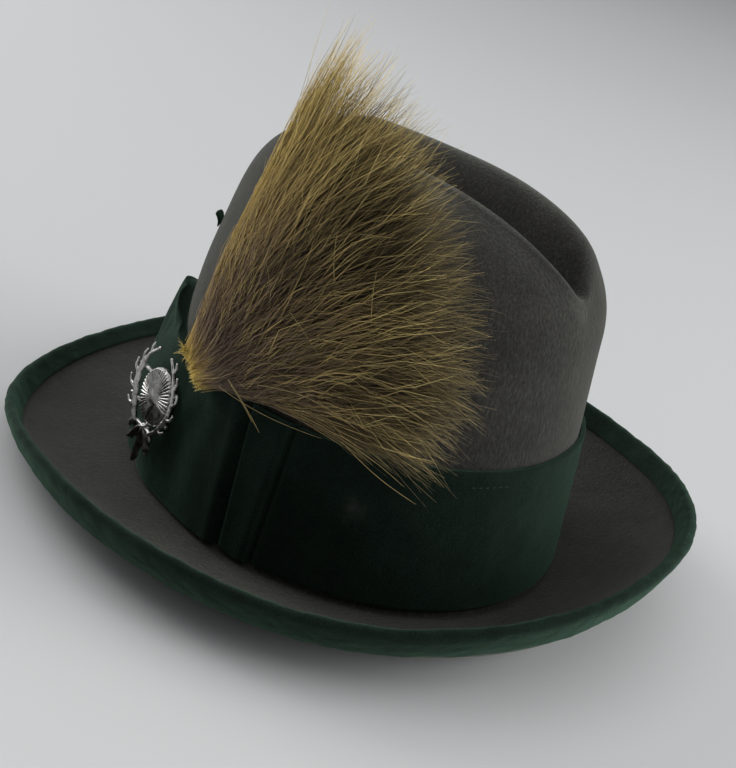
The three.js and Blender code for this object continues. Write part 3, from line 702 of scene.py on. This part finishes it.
# %% Sizes of the fan, in mm in the CAD's axes
BRUSH_ROOT = np.array([76.5, -35.6, 66.6])
FAN_LIFT = 12.5
FAN_LIFT_REACH = 28.0
FAN_LEAN = 0.06
ROOT_LINE_TOP = np.array([1.2, 6.4])
ROOT_LINE_FOOT = np.array([9.8, -3.2])
# degrees above the backward direction, at the fan's upper edge and at its lower edge
TIP_ANGLES = (73.6, 7.2)
START_ANGLES = (77.0, 24.0)
END_ANGLES = (71.5, -6.0)
FAN_OUTLINE = [
    # degrees, how far from the root the longest hairs reach there
    (0, 96), (4.6, 107), (8.4, 121.5), (12.8, 130), (17.6, 132), (23.6, 136.5), (28, 139), (33, 141),
    (42.6, 143), (53.5, 147), (58, 149), (65, 149), (71.6, 154), (77, 155), (82, 147),
]
FAN_FULLNESS = [
    # part of the way out, half the fan's thickness there
    (0.0, 2.4), (0.12, 4.2), (0.35, 6.6), (0.7, 6.4), (1.0, 4.4),
]


def table_value(table, place):
    places, values = zip(*table)
    return np.interp(place, places, values)


def direction(degrees):
    angle = np.radians(degrees)
    return np.stack([np.cos(angle), np.sin(angle)], axis=-1)


def fan_curve(share, t):
    """Places on the fan's flat surface. share is 0 at its upper edge and 1 at its lower edge."""
    share = np.asarray(share)[:, None]
    start = ROOT_LINE_TOP + (ROOT_LINE_FOOT - ROOT_LINE_TOP) * share
    tip_angle = (TIP_ANGLES[0] + (TIP_ANGLES[1] - TIP_ANGLES[0]) * share)[:, 0]
    tip = direction(tip_angle) * table_value(FAN_OUTLINE, tip_angle)[:, None]
    reach = np.linalg.norm(tip - start, axis=1, keepdims=True) / 3
    leaving = direction((START_ANGLES[0] + (START_ANGLES[1] - START_ANGLES[0]) * share)[:, 0])
    arriving = direction((END_ANGLES[0] + (END_ANGLES[1] - END_ANGLES[0]) * share)[:, 0])
    bend_1, bend_2 = start + leaving * reach, tip - arriving * reach
    t = t[..., None]
    weights = ((1 - t) ** 3, 3 * t * (1 - t) ** 2, 3 * t * t * (1 - t), t ** 3)
    return sum(weight * point[:, None, :] for weight, point in zip(weights, (start, bend_1, bend_2, tip)))


def fan_places(flat, depth):
    """Places in mm from places on the fan's flat surface and a depth through it."""
    distance = np.linalg.norm(flat, axis=-1)
    lift = FAN_LIFT * (1 - np.exp(-distance / FAN_LIFT_REACH))
    x = BRUSH_ROOT[0] + lift - FAN_LEAN * flat[..., 1] + depth
    return np.stack([x, BRUSH_ROOT[1] + flat[..., 0], BRUSH_ROOT[2] + flat[..., 1]], axis=-1)


# %% Hairs as three-sided tubes
def tube_mesh(name, centres, radii, attributes):
    """One mesh of many tapered tubes. centres is (hairs, stations, 3) in mm, radii (hairs, stations)."""
    hairs, stations = radii.shape
    tangent = np.gradient(centres, axis=1)
    tangent /= np.linalg.norm(tangent, axis=2, keepdims=True) + 1e-9
    side = np.cross(tangent, np.array([1.0, 0.0, 0.0]))
    side /= np.linalg.norm(side, axis=2, keepdims=True) + 1e-9
    other = np.cross(tangent, side)
    rings = []
    for k in range(3):
        turn = 2 * math.pi * k / 3
        rings.append(centres + radii[..., None] * (side * math.cos(turn) + other * math.sin(turn)))
    points = np.stack(rings, axis=2).reshape(-1, 3) * MILLIMETRE
    first = np.arange(hairs)[:, None, None] * stations * 3 + np.arange(stations - 1)[None, :, None] * 3
    k = np.arange(3)[None, None, :]
    corner = [first + k, first + (k + 1) % 3, first + 3 + (k + 1) % 3, first + 3 + k]
    quads = np.stack(corner, axis=-1).reshape(-1, 4)
    start = np.arange(hairs)[:, None] * stations * 3
    caps = np.concatenate([start + [2, 1, 0], start + (stations - 1) * 3 + [0, 1, 2]])
    mesh = bpy.data.meshes.new(name)
    mesh.vertices.add(len(points))
    mesh.vertices.foreach_set("co", points.astype(np.float32).ravel())
    corners = np.concatenate([quads.ravel(), caps.ravel()]).astype(np.int32)
    sizes = np.concatenate([np.full(len(quads), 4), np.full(len(caps), 3)]).astype(np.int32)
    mesh.loops.add(len(corners))
    mesh.loops.foreach_set("vertex_index", corners)
    mesh.polygons.add(len(sizes))
    mesh.polygons.foreach_set("loop_start", np.concatenate([[0], np.cumsum(sizes)[:-1]]).astype(np.int32))
    mesh.polygons.foreach_set("loop_total", sizes)
    mesh.polygons.foreach_set("use_smooth", np.ones(len(sizes), bool))
    for label, values in attributes.items():
        layer = mesh.attributes.new(label, "FLOAT", "POINT")
        layer.data.foreach_set("value", np.repeat(values[..., None], 3, axis=2).astype(np.float32).ravel())
    mesh.update(calc_edges=True)
    mesh.validate()
    return mesh


# %% What makes hairs differ, in mm, in parts of a length or in parts of the tone
STATIONS = 10
TIP_RADIUS = 0.03
TWO_PI = 2 * math.pi
SHARE = {"in_wisp": 0.018, "loose": 0.07, "edge": 0.10, "slim": 0.22}
BEND = {"wisp": 4.4, "own": 3.6, "loose": 12.0}
WAVE = {"size": (0.5, 2.8), "own_size": 0.9, "count": (1.6, 4.4), "own_count": 0.4, "own_start": 1.7}
OWN = {"curl": 0.6, "curls": 6.5, "scatter": 1.3, "kink": 1.5, "kink_width": 0.14, "crook": 1.6}
ROOT_SPREAD = np.array([1.0, 1.1, 1.3])
# the tone is lighter at the upper edge, partly the hairs' own gold and partly painted light, lighter at the
# upper tips as painted light, and darker in the fan's middle as painted shade
TONE = {"wisp": 0.15, "own": 0.16, "loose": 0.15, "upper_edge": 0.16, "upper": 0.27, "tip": 0.20,
        "root": 0.42, "upper_tip": 0.08, "middle_shade": 0.17}


def hair_piece(name, centres, radii, along, tone, gold):
    mesh = tube_mesh(name, centres, radii, {"along": along, "tone": tone, "gold": gold})
    piece = new_piece(name, mesh)
    piece.data.materials.append(stiff_hair)
    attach(piece, "root")
    print(name, "has", len(radii), "hairs")
    return piece


# %% One layer of hairs
def hair_layer(name, count, wisps, depths, lengths, layer_tone_and_shade, seed, radius, flare, loose):
    dice = np.random.default_rng(seed)
    mine = dice.integers(0, wisps, count)
    share = dice.uniform(-0.01, 1.01, wisps)[mine] + dice.normal(0.0, SHARE["in_wisp"], count)
    is_loose = dice.uniform(0, 1, count) < loose
    share = np.clip(share + is_loose * dice.normal(0.0, SHARE["loose"], count), -0.02, 1.03)
    part = dice.uniform(*lengths, wisps)[mine] * dice.uniform(0.84, 1.05, count)
    part = np.where(is_loose, dice.uniform(*lengths, count), part)
    own = np.linspace(0.0, 1.0, STATIONS)[None, :]
    t = own * part[:, None]
    flat = fan_curve(share, t)
    tangent = np.gradient(flat, axis=1)
    tangent /= np.linalg.norm(tangent, axis=2, keepdims=True)
    sideways = np.stack([-tangent[..., 1], tangent[..., 0]], axis=-1)
    from_edge = np.minimum(share, 1 - share)
    inside = np.clip(from_edge / SHARE["edge"], 0.0, 1.0)[:, None]
    # what the hairs of one wisp share
    bend = dice.normal(0.0, BEND["wisp"], wisps)[mine] + dice.normal(0.0, BEND["own"], count)
    bend += is_loose * dice.normal(0.0, BEND["loose"], count)
    wave_size = dice.uniform(*WAVE["size"], wisps)[mine] + np.abs(dice.normal(0.0, WAVE["own_size"], count))
    wave_count = dice.uniform(*WAVE["count"], wisps)[mine] + dice.normal(0.0, WAVE["own_count"], count)
    wave_start = dice.uniform(0, TWO_PI, wisps)[mine] + dice.normal(0.0, WAVE["own_start"], count)
    phase = wave_start[:, None] + TWO_PI * wave_count[:, None] * t
    wave = wave_size[:, None] * np.sin(phase)
    # what each hair has of its own
    curl_size = np.abs(dice.normal(0.0, OWN["curl"], count))[:, None]
    curl = curl_size * np.sin(dice.uniform(0, TWO_PI, count)[:, None] + TWO_PI * OWN["curls"] * t)
    scatter = dice.normal(0.0, OWN["scatter"], count)[:, None] * np.clip(t / 0.3, 0, 1)
    kink_at = dice.uniform(0.25, 0.95, count)[:, None]
    kink = dice.normal(0.0, OWN["kink"], count)[:, None] * bell(own - kink_at, OWN["kink_width"])
    scatter = scatter + kink
    crook = dice.normal(0.0, OWN["crook"], count)[:, None] * np.clip((own - 0.6) / 0.4, 0, 1) ** 2
    settled = np.clip(t / 0.25, 0, 1) ** 1.3
    away = ((wave + curl) * settled + bend[:, None] * t ** 2 + scatter + crook) * (0.22 + 0.78 * inside)
    flat = flat + sideways * away[..., None]
    slim = 0.25 + 0.75 * np.sqrt(np.clip(from_edge / SHARE["slim"], 0, 1))[:, None]
    depth = dice.uniform(*depths, wisps)[mine] + dice.normal(0.0, 0.14, count)
    through = np.clip(depth, -1.05, 1.1)[:, None] * table_value(FAN_FULLNESS, t) * slim
    through += wave_size[:, None] * np.cos(phase) * settled * slim
    through += (dice.normal(0, 0.6, count)[:, None] + flare) * own ** 3 * slim
    centres = fan_places(flat, through)
    start = dice.normal(0, 1, (count, 3)) * ROOT_SPREAD
    centres += start[:, None, :] * (1 - np.clip(t / 0.2, 0, 1))[..., None] ** 1.5
    radii = (radius * dice.uniform(0.6, 1.25, count))[:, None] * (1 - 0.35 * own)
    radii[:, -1] = TIP_RADIUS
    # the root and the tips are lighter in their own colour; the upper edge is lighter, partly in its own
    # gold and partly as painted light; the fan's middle gets painted shade
    tone = dice.normal(layer_tone_and_shade, TONE["wisp"], wisps)[mine] + dice.normal(0.0, TONE["own"], count)
    tone = tone + is_loose * TONE["loose"]
    edge = np.clip((0.13 - share) / 0.12, 0, 1) * dice.uniform(0.2, 1.0, count)
    gold = np.clip(edge + (dice.uniform(0, 1, count) < 0.08) * 0.5, 0, 1)
    # the upper edge is lighter: partly the hairs' own golden colour, partly painted light
    tone = tone + TONE["upper_edge"] * edge + TONE["upper"] * smooth_step(0.36, 0.10, share)
    tone = tone[:, None] + TONE["tip"] * smooth_step(0.74, 1.0, t)
    tone += TONE["root"] * smooth_step(0.16, 0.02, t)
    # painted light on the tips near the upper edge, where light shines through them
    tone += TONE["upper_tip"] * smooth_step(0.5, 0.8, t) * smooth_step(0.42, 0.15, share)[:, None]
    # painted shade in the fan's middle, where the hairs shade each other
    middle_shade = TONE["middle_shade"] * bell(share - 0.40, 0.15)[:, None]
    tone -= middle_shade * smooth_step(0.34, 0.56, t) * smooth_step(0.97, 0.82, t)
    shape = radii.shape
    return hair_piece(name, centres, radii, np.broadcast_to(own, shape), np.clip(tone, 0, 1),
                      np.broadcast_to(gold[:, None], shape))


# %% The layers, from the crown outward
LAYERS = [
    # name, hairs, wisps, depths through the fan, parts of the full length, tone (darker for the deeper
    # layers: partly their own colour, partly painted shade), seed, then the radius in mm, how far the tips
    # flare out in mm, and the part of the hairs that left their wisp
    ("brush_hair_under", 3300, 220, (-1.0, -0.4), (0.82, 1.0), 0.05, 11, 0.14, 0.0, 0.3),
    ("brush_hair_middle", 3000, 280, (-0.5, 0.2), (0.66, 1.0), 0.07, 12, 0.13, 0.0, 0.35),
    ("brush_hair_over", 2200, 420, (0.0, 0.65), (0.46, 0.98), 0.17, 13, 0.115, 0.8, 0.5),
    ("brush_hair_front", 1300, 500, (0.5, 1.0), (0.34, 0.94), 0.38, 14, 0.11, 1.8, 0.8),
    ("brush_hair_bright", 380, 300, (0.7, 1.15), (0.30, 0.95), 0.74, 15, 0.15, 2.2, 1.0),
]
layers = [hair_layer(*row) for row in LAYERS]
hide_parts("hair_brush")


# %% [markdown]
# ### The root and the stray hairs
# Where the hairs are bound, their cut ends stand out in a short golden tuft, and a few long hairs have
# worked loose and lie on the band or cross the fan. The tuft is scattered at random from a seed. The
# stray hairs are so few that each has a row of its own.

# %% The tuft at the root
TUFT = {"hairs": 800, "seed": 21, "radius": 0.13, "tone": 0.62, "gold": 0.35}


def root_tuft(count):
    dice = np.random.default_rng(TUFT["seed"])
    own = np.linspace(0.0, 1.0, STATIONS)[None, :]
    share = dice.uniform(-0.05, 1.0, count)[:, None]
    start = ROOT_LINE_TOP + (ROOT_LINE_FOOT - ROOT_LINE_TOP) * share + dice.normal(0, 0.8, (count, 2))
    heading = 125.0 - 60.0 * share[:, 0] + dice.normal(0.0, 42.0, count)
    length = dice.gamma(3.0, 0.6, count) + 0.8
    turn = dice.normal(0.0, 45.0, count)[:, None] * own
    angle = np.radians(heading[:, None] + turn)
    step = np.stack([np.cos(angle), np.sin(angle)], axis=-1) * (length / (STATIONS - 1))[:, None, None]
    flat = start[:, None, :] + np.cumsum(step, axis=1)
    depth = dice.uniform(0.5, 3.6, count)[:, None] + dice.normal(0.3, 1.2, count)[:, None] * own ** 2
    centres = fan_places(flat, depth)
    radii = np.full((count, 1), TUFT["radius"]) * (1 - 0.5 * own)
    radii[:, -1] = TIP_RADIUS
    tone = np.broadcast_to(np.clip(dice.normal(TUFT["tone"], 0.22, count), 0, 1)[:, None], radii.shape)
    gold = np.full(radii.shape, TUFT["gold"])
    return hair_piece("brush_root_tuft", centres, radii, np.zeros(radii.shape), tone, gold)


# %% Single hairs that stray
STRAY_HAIRS = [
    # along and up from the root at both ends, how far it bows, depth, radius
    (24.0, 4.0, 75.0, 8.6, -1.5, 5.0, 0.12),
    (29.0, 10.4, 49.6, -1.5, 0.6, 7.0, 0.16),
    (31.0, 9.0, 45.5, 0.5, 0.4, 7.0, 0.13),
    (70.0, 12.0, 112.0, 8.4, 2.0, 5.5, 0.12),
    (83.0, 11.5, 118.0, 4.5, -1.5, 5.0, 0.13),
    (60.0, 24.0, 100.0, 41.0, 5.0, 8.5, 0.15),
    (34.0, 30.0, 52.0, 78.0, -5.0, 8.0, 0.15),
    (44.0, 16.0, 92.0, 20.0, 4.0, 8.5, 0.15),
    (20.0, 30.0, 24.0, 96.0, -3.5, 7.5, 0.14),
    (64.0, 66.0, 60.0, 84.0, 0.8, 8.0, 0.12),
    (82.0, 60.0, 79.0, 76.0, 0.5, 8.0, 0.12),
    (50.0, 48.0, 67.0, 38.0, 0.4, 8.5, 0.14),
]


def stray_hairs():
    table = np.array(STRAY_HAIRS)
    own = np.linspace(0.0, 1.0, STATIONS)[None, :, None]
    flat = table[:, None, 0:2] * (1 - own) + table[:, None, 2:4] * own
    along = (table[:, 2:4] - table[:, 0:2]) / np.linalg.norm(table[:, 2:4] - table[:, 0:2], axis=1)[:, None]
    sideways = np.stack([-along[:, 1], along[:, 0]], axis=-1)[:, None, :]
    flat = flat + sideways * table[:, None, 4:5] * np.sin(math.pi * own)
    centres = fan_places(flat, np.broadcast_to(table[:, 5:6], flat.shape[:2]))
    radii = table[:, 6:7] * (1 - 0.4 * own[..., 0])
    radii[:, -1] = TIP_RADIUS
    ones = np.ones(radii.shape)
    return hair_piece("brush_stray_hairs", centres, radii, ones * 0.86, ones * 0.8, ones * 0.3)


root_tuft(TUFT["hairs"])
stray_hairs()

# %% [markdown]
# ### Stitches
# A short row of pale stitches shows below the band's upper edge, behind the brush. Each is a thin tube
# whose stations are laid on the band's own surface, so that it follows the cloth.

# %% The stitches in the band
STITCHES = {"first": 145.5, "last": 158.0, "count": 6, "part": 0.55, "below_edge": 6.2, "radius": 0.12}
THREAD_DARK = (0.035, 0.055, 0.045)
THREAD_LIGHT = (0.10, 0.13, 0.11)


def crown_place(angle, height, outside):
    """The place on the crown's wall for degrees from the front and a height, in mm."""
    turn = np.radians(angle)
    power = 2 / CROWN["squareness"]
    half_width = CROWN["half_width"] - CROWN["side_taper"] * height + outside
    taper = np.where(np.cos(turn) > 0, CROWN["front_taper"], CROWN["back_taper"])
    reach = CROWN["half_length"] - taper * height + outside
    x = half_width * np.sign(np.sin(turn)) * np.abs(np.sin(turn)) ** power
    y = -reach * np.sign(np.cos(turn)) * np.abs(np.cos(turn)) ** power
    return np.stack([x, y, np.broadcast_to(height, x.shape)], axis=-1) + CAD_SHIFT


def thread_finish():
    thread = Finish("pale_thread", roughness=0.7)
    fibres = thread.noise(thread.object_place(), 900.0)
    return thread.finish(thread.ramp(fibres, [(0.3, THREAD_DARK), (0.7, THREAD_LIGHT)]))


def band_stitches():
    surface = surface_of(band)
    own = np.linspace(0.0, 1.0, STATIONS)
    pitch = (STITCHES["last"] - STITCHES["first"]) / STITCHES["count"]
    start = STITCHES["first"] + pitch * np.arange(STITCHES["count"])
    angle = start[:, None] + STITCHES["part"] * pitch * own
    height = BAND["height"] + band_foot(angle) - STITCHES["below_edge"]
    guess = crown_place(angle, height, 4.0).reshape(-1, 3) * MILLIMETRE
    found = np.array([list(surface.find_nearest(Vector(place))[0]) for place in guess]) / MILLIMETRE
    centres = found.reshape(*angle.shape, 3)
    radii = np.full(angle.shape, STITCHES["radius"]) * (0.6 + 0.4 * np.sin(math.pi * own))
    mesh = tube_mesh("band_stitches", centres, radii, {})
    piece = new_piece("band_stitches", mesh)
    piece.data.materials.append(thread_finish())
    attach(piece, "root")


band_stitches()

# %% [markdown]
# ## The pin
# The pin is an oval disc in a ring of forked twigs, with a leaf at its foot, cast in one. Cast metal
# has no sharp corner. A bevel would need clean edges, so a voxel remesh melts the CAD pieces into one
# skin instead, and two rounds of smoothing soften it as wear does. Then rays are raised on the disc.

# %% Sizes of the pin: its frame in metres, and the rest in mm across, up and out of it
PIN_VOXEL = 0.00029
PIN_WEAR = {"factor": 0.5, "rounds": 2}
PIN_AT = np.array([0.0689674, -0.0540628, 0.0411913])
PIN_ACROSS = np.array([0.3395, 0.9405, -0.0168])
PIN_UP = np.array([-0.1229, 0.0620, 0.9905])
PIN_OUT = np.array([0.9326, -0.3342, 0.1366])
DISC = {"edge": 2.0, "rise": 1.3, "radius": 13.2, "face": (12.4, 11.8), "face_from": 1.0,
        "rays": 44, "ray_height": 0.36, "rays_from": (2.5, 6.5), "narrow": 0.86, "shift": 2.2}
PLATE = {"turn": 32.0, "foot": 2.4, "point": 0.7, "sunk": 0.9}
KNOB = {"width": 0.8, "height": 1.3, "at": 0.6, "size": 2.6, "rise": 0.6}
TWIGS = {"thicker": 0.16, "from": (12.8, 13.6), "warp": (16.5, 12.5)}
LEAF = {"from": -15.5, "longer": 1.8, "wider": 1.5}


# %% Casting the pin
def cast_pin():
    pin = copy_of_node("hat_pin", "cast_pin")
    remesh = pin.modifiers.new("cast", "REMESH")
    remesh.mode = "VOXEL"
    remesh.voxel_size = PIN_VOXEL
    remesh.use_smooth_shade = True
    bpy.ops.object.modifier_apply(modifier=remesh.name)
    smooth = pin.modifiers.new("worn", "SMOOTH")
    smooth.factor = PIN_WEAR["factor"]
    smooth.iterations = PIN_WEAR["rounds"]
    bpy.ops.object.modifier_apply(modifier=smooth.name)
    print("pin has", len(pin.data.polygons), "faces")
    return pin


# %% Rays, plate and leaf
def disc_height(across, up):
    """The face of the disc, in mm: rays over most of it, and a plain pointed plate at its foot."""
    distance = np.hypot(across, up)
    turn = np.arctan2(across, up)
    dome = DISC["edge"] + DISC["rise"] * np.sqrt(np.clip(1 - (distance / DISC["radius"]) ** 2, 0, 1))
    rays = np.abs(np.sin(DISC["rays"] / 2 * turn)) - 0.5
    height = dome + 2 * DISC["ray_height"] * rays * smooth_step(*DISC["rays_from"], distance)
    tilt = math.radians(PLATE["turn"])
    aside = across * math.cos(tilt) + up * math.sin(tilt)
    above = up * math.cos(tilt) - across * math.sin(tilt)
    plate = smooth_step(-0.4, 0.5, -above - PLATE["foot"] - PLATE["point"] * np.abs(aside))
    height = height * (1 - plate) + (dome - PLATE["sunk"]) * plate
    knob = bell(np.hypot(across / KNOB["width"], (up - KNOB["at"]) / KNOB["height"]), KNOB["size"])
    return height + KNOB["rise"] * knob * (1 - plate), plate


def draw_pin(piece):
    points = vertex_array(piece)
    normals = vertex_normals(piece)
    local = (points - PIN_AT) / MILLIMETRE
    across, up, out = local @ PIN_ACROSS, local @ PIN_UP, local @ PIN_OUT
    distance = np.hypot(across, up)
    height, plate = disc_height(across, up)
    face = smooth_step(*DISC["face"], distance) * (normals @ PIN_OUT > 0.15) * (out > DISC["face_from"])
    out = out + (height - out) * face
    thicker = TWIGS["thicker"] * smooth_step(*TWIGS["from"], distance)
    warp = smooth_step(*TWIGS["warp"], distance)
    across = across + warp * ((DISC["narrow"] - 1) * across + DISC["shift"])
    leaf = smooth_step(LEAF["from"] + 0.5, LEAF["from"] - 1.5, up)
    up = up + leaf * (up - LEAF["from"]) * (LEAF["longer"] - 1)
    across = across * (1 + leaf * (LEAF["wider"] - 1))
    moved = across[:, None] * PIN_ACROSS + up[:, None] * PIN_UP + out[:, None] * PIN_OUT
    set_vertices(piece, PIN_AT + (moved + normals * thicker[:, None]) * MILLIMETRE)
    # the plate is made darker, and the leaf gets painted shade
    plate_dark_leaf_shade = np.clip(0.5 * plate * face + 0.85 * leaf, 0, 1)
    layer = piece.data.attributes.new("plate_dark_leaf_shade", "FLOAT", "POINT")
    layer.data.foreach_set("value", plate_dark_leaf_shade.astype(np.float32))


# %% Pin
pin = cast_pin()
draw_pin(pin)
pin.data.materials.append(antiqued_metal)
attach(pin, "root")
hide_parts("hat_pin")

# %% [markdown]
# ## The front tab
# A small tab of the cloth stands out at the crown's front and curls at its top. The CAD has it flat, so
# a rounded copy is rolled along a curve whose turn grows with the height. A Simple Deform bend could do
# it too, but its axis and limits are harder to place on a leaning piece.

# %% Bending the tab, in mm and degrees
TAB_BEND = {"angle": 25.0, "base_lean": 17.0, "start": 0.5, "length": 7.0, "turn": 70.0, "shift": 1.8,
            "shorter": 0.46}


def bend_tab(piece):
    """The tab of cloth curls away from the felt towards its upper edge."""
    points = vertex_array(piece)
    side_angle = math.radians(TAB_BEND["angle"])
    out = np.array([math.sin(side_angle), -math.cos(side_angle), 0.0])
    lean = math.radians(TAB_BEND["base_lean"])
    along = np.array([0.0, 0.0, math.cos(lean)]) + out * math.sin(lean)
    through = out * math.cos(lean) - np.array([0.0, 0.0, math.sin(lean)])
    base = points[points[:, 2] < points[:, 2].min() + 0.0015].mean(axis=0)
    from_base = points - base
    rise, thick = from_base @ along, from_base @ through
    rest = from_base - rise[:, None] * along - thick[:, None] * through
    steps = np.linspace(0.0, 1.0, 60)
    reach = steps * TAB_BEND["length"] * 1.3
    bent = smooth_step(0.0, 1.0, (reach - TAB_BEND["start"]) / TAB_BEND["length"])
    turn = np.radians(TAB_BEND["turn"]) * bent
    side = np.concatenate([[0.0], np.cumsum(np.sin(turn[:-1]) * np.diff(reach))])
    climb = np.concatenate([[0.0], np.cumsum(np.cos(turn[:-1]) * np.diff(reach))])
    rise_mm, thick_mm = rise / MILLIMETRE * TAB_BEND["shorter"], thick / MILLIMETRE
    here = np.interp(rise_mm, reach, turn)
    new_rise = np.interp(rise_mm, reach, climb) - thick_mm * np.sin(here)
    new_thick = np.interp(rise_mm, reach, side) + thick_mm * np.cos(here)
    moved = base + rest + (new_rise[:, None] * along + new_thick[:, None] * through) * MILLIMETRE
    set_vertices(piece, moved + out * TAB_BEND["shift"] * MILLIMETRE)


# %% Front tab
tab = rounded(copy_of_node("front_tab", "cloth_tab"), 4)
bend_tab(tab)
tab.data.materials.append(band_cloth)
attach(tab, "root")
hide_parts("front_tab")

# %% [markdown]
# ## Floor and lights
# A pale floor and three big soft lights, one above the hat and two at its sides, as in a light tent.
# The floor's colour has painted light, a little lighter towards the camera, so that its shade is even in
# the picture.

# %% Floor
# painted light on the floor: lighter towards the camera, where the lamps light it less
FLOOR_PAINTED_LIGHT_FAR = (0.60, 0.605, 0.615)
FLOOR_PAINTED_LIGHT_MIDDLE = (0.69, 0.70, 0.705)
FLOOR_PAINTED_LIGHT_NEAR = (0.90, 0.91, 0.915)


def floor_finish():
    paper = Finish("pale_paper", roughness=0.9)
    place = paper.object_place()
    parts = paper.node("ShaderNodeSeparateXYZ", {"Vector": place})
    nearer = paper.math("ADD", paper.math("MULTIPLY", parts.outputs["X"], 0.88),
                        paper.math("MULTIPLY", parts.outputs["Y"], 0.47))
    # painted light: the floor is made lighter towards the camera, where the lamps light it less
    painted_light_sweep = paper.math("ADD", paper.math("MULTIPLY", nearer, 0.55), 0.62)
    colour = paper.ramp(painted_light_sweep, [(0.0, FLOOR_PAINTED_LIGHT_FAR), (0.55, FLOOR_PAINTED_LIGHT_MIDDLE), (1.0, FLOOR_PAINTED_LIGHT_NEAR)])
    return paper.finish(colour)


bpy.ops.object.select_all(action="DESELECT")
bpy.ops.mesh.primitive_plane_add(size=14.0, location=(0.0, 0.0, 0.0))
floor = bpy.context.active_object
floor.name = "floor"
floor.data.materials.append(floor_finish())


# %% Lights
LAMPS = [
    # name, place and width in metres, watts
    ("tent_top", (-0.2, 0.1, 2.4), 3.2, 24.5),
    ("tent_back_right", (-0.9, 1.7, 0.8), 1.4, 28.0),
    ("tent_back_left", (-0.2, -1.9, 0.9), 1.4, 22.0),
]
LIT_PLACE = Vector((0.0, 0.0, 0.08))
SKY_COLOUR = (0.96, 0.98, 1.0, 1.0)
SKY_STRENGTH = 0.17


def soft_light(name, place, size, power):
    data = bpy.data.lights.new(name, "AREA")
    data.shape = "SQUARE"
    data.size = size
    data.energy = power
    lamp = bpy.data.objects.new(name, data)
    bpy.context.scene.collection.objects.link(lamp)
    lamp.location = place
    lamp.rotation_euler = (LIT_PLACE - Vector(place)).to_track_quat("-Z", "Y").to_euler()


for row in LAMPS:
    soft_light(*row)

world = bpy.data.worlds.new("tent")
bpy.context.scene.world = world
world.use_nodes = True
world.node_tree.nodes["Background"].inputs["Color"].default_value = SKY_COLOUR
world.node_tree.nodes["Background"].inputs["Strength"].default_value = SKY_STRENGTH
bpy.context.scene.view_settings.view_transform = "Standard"
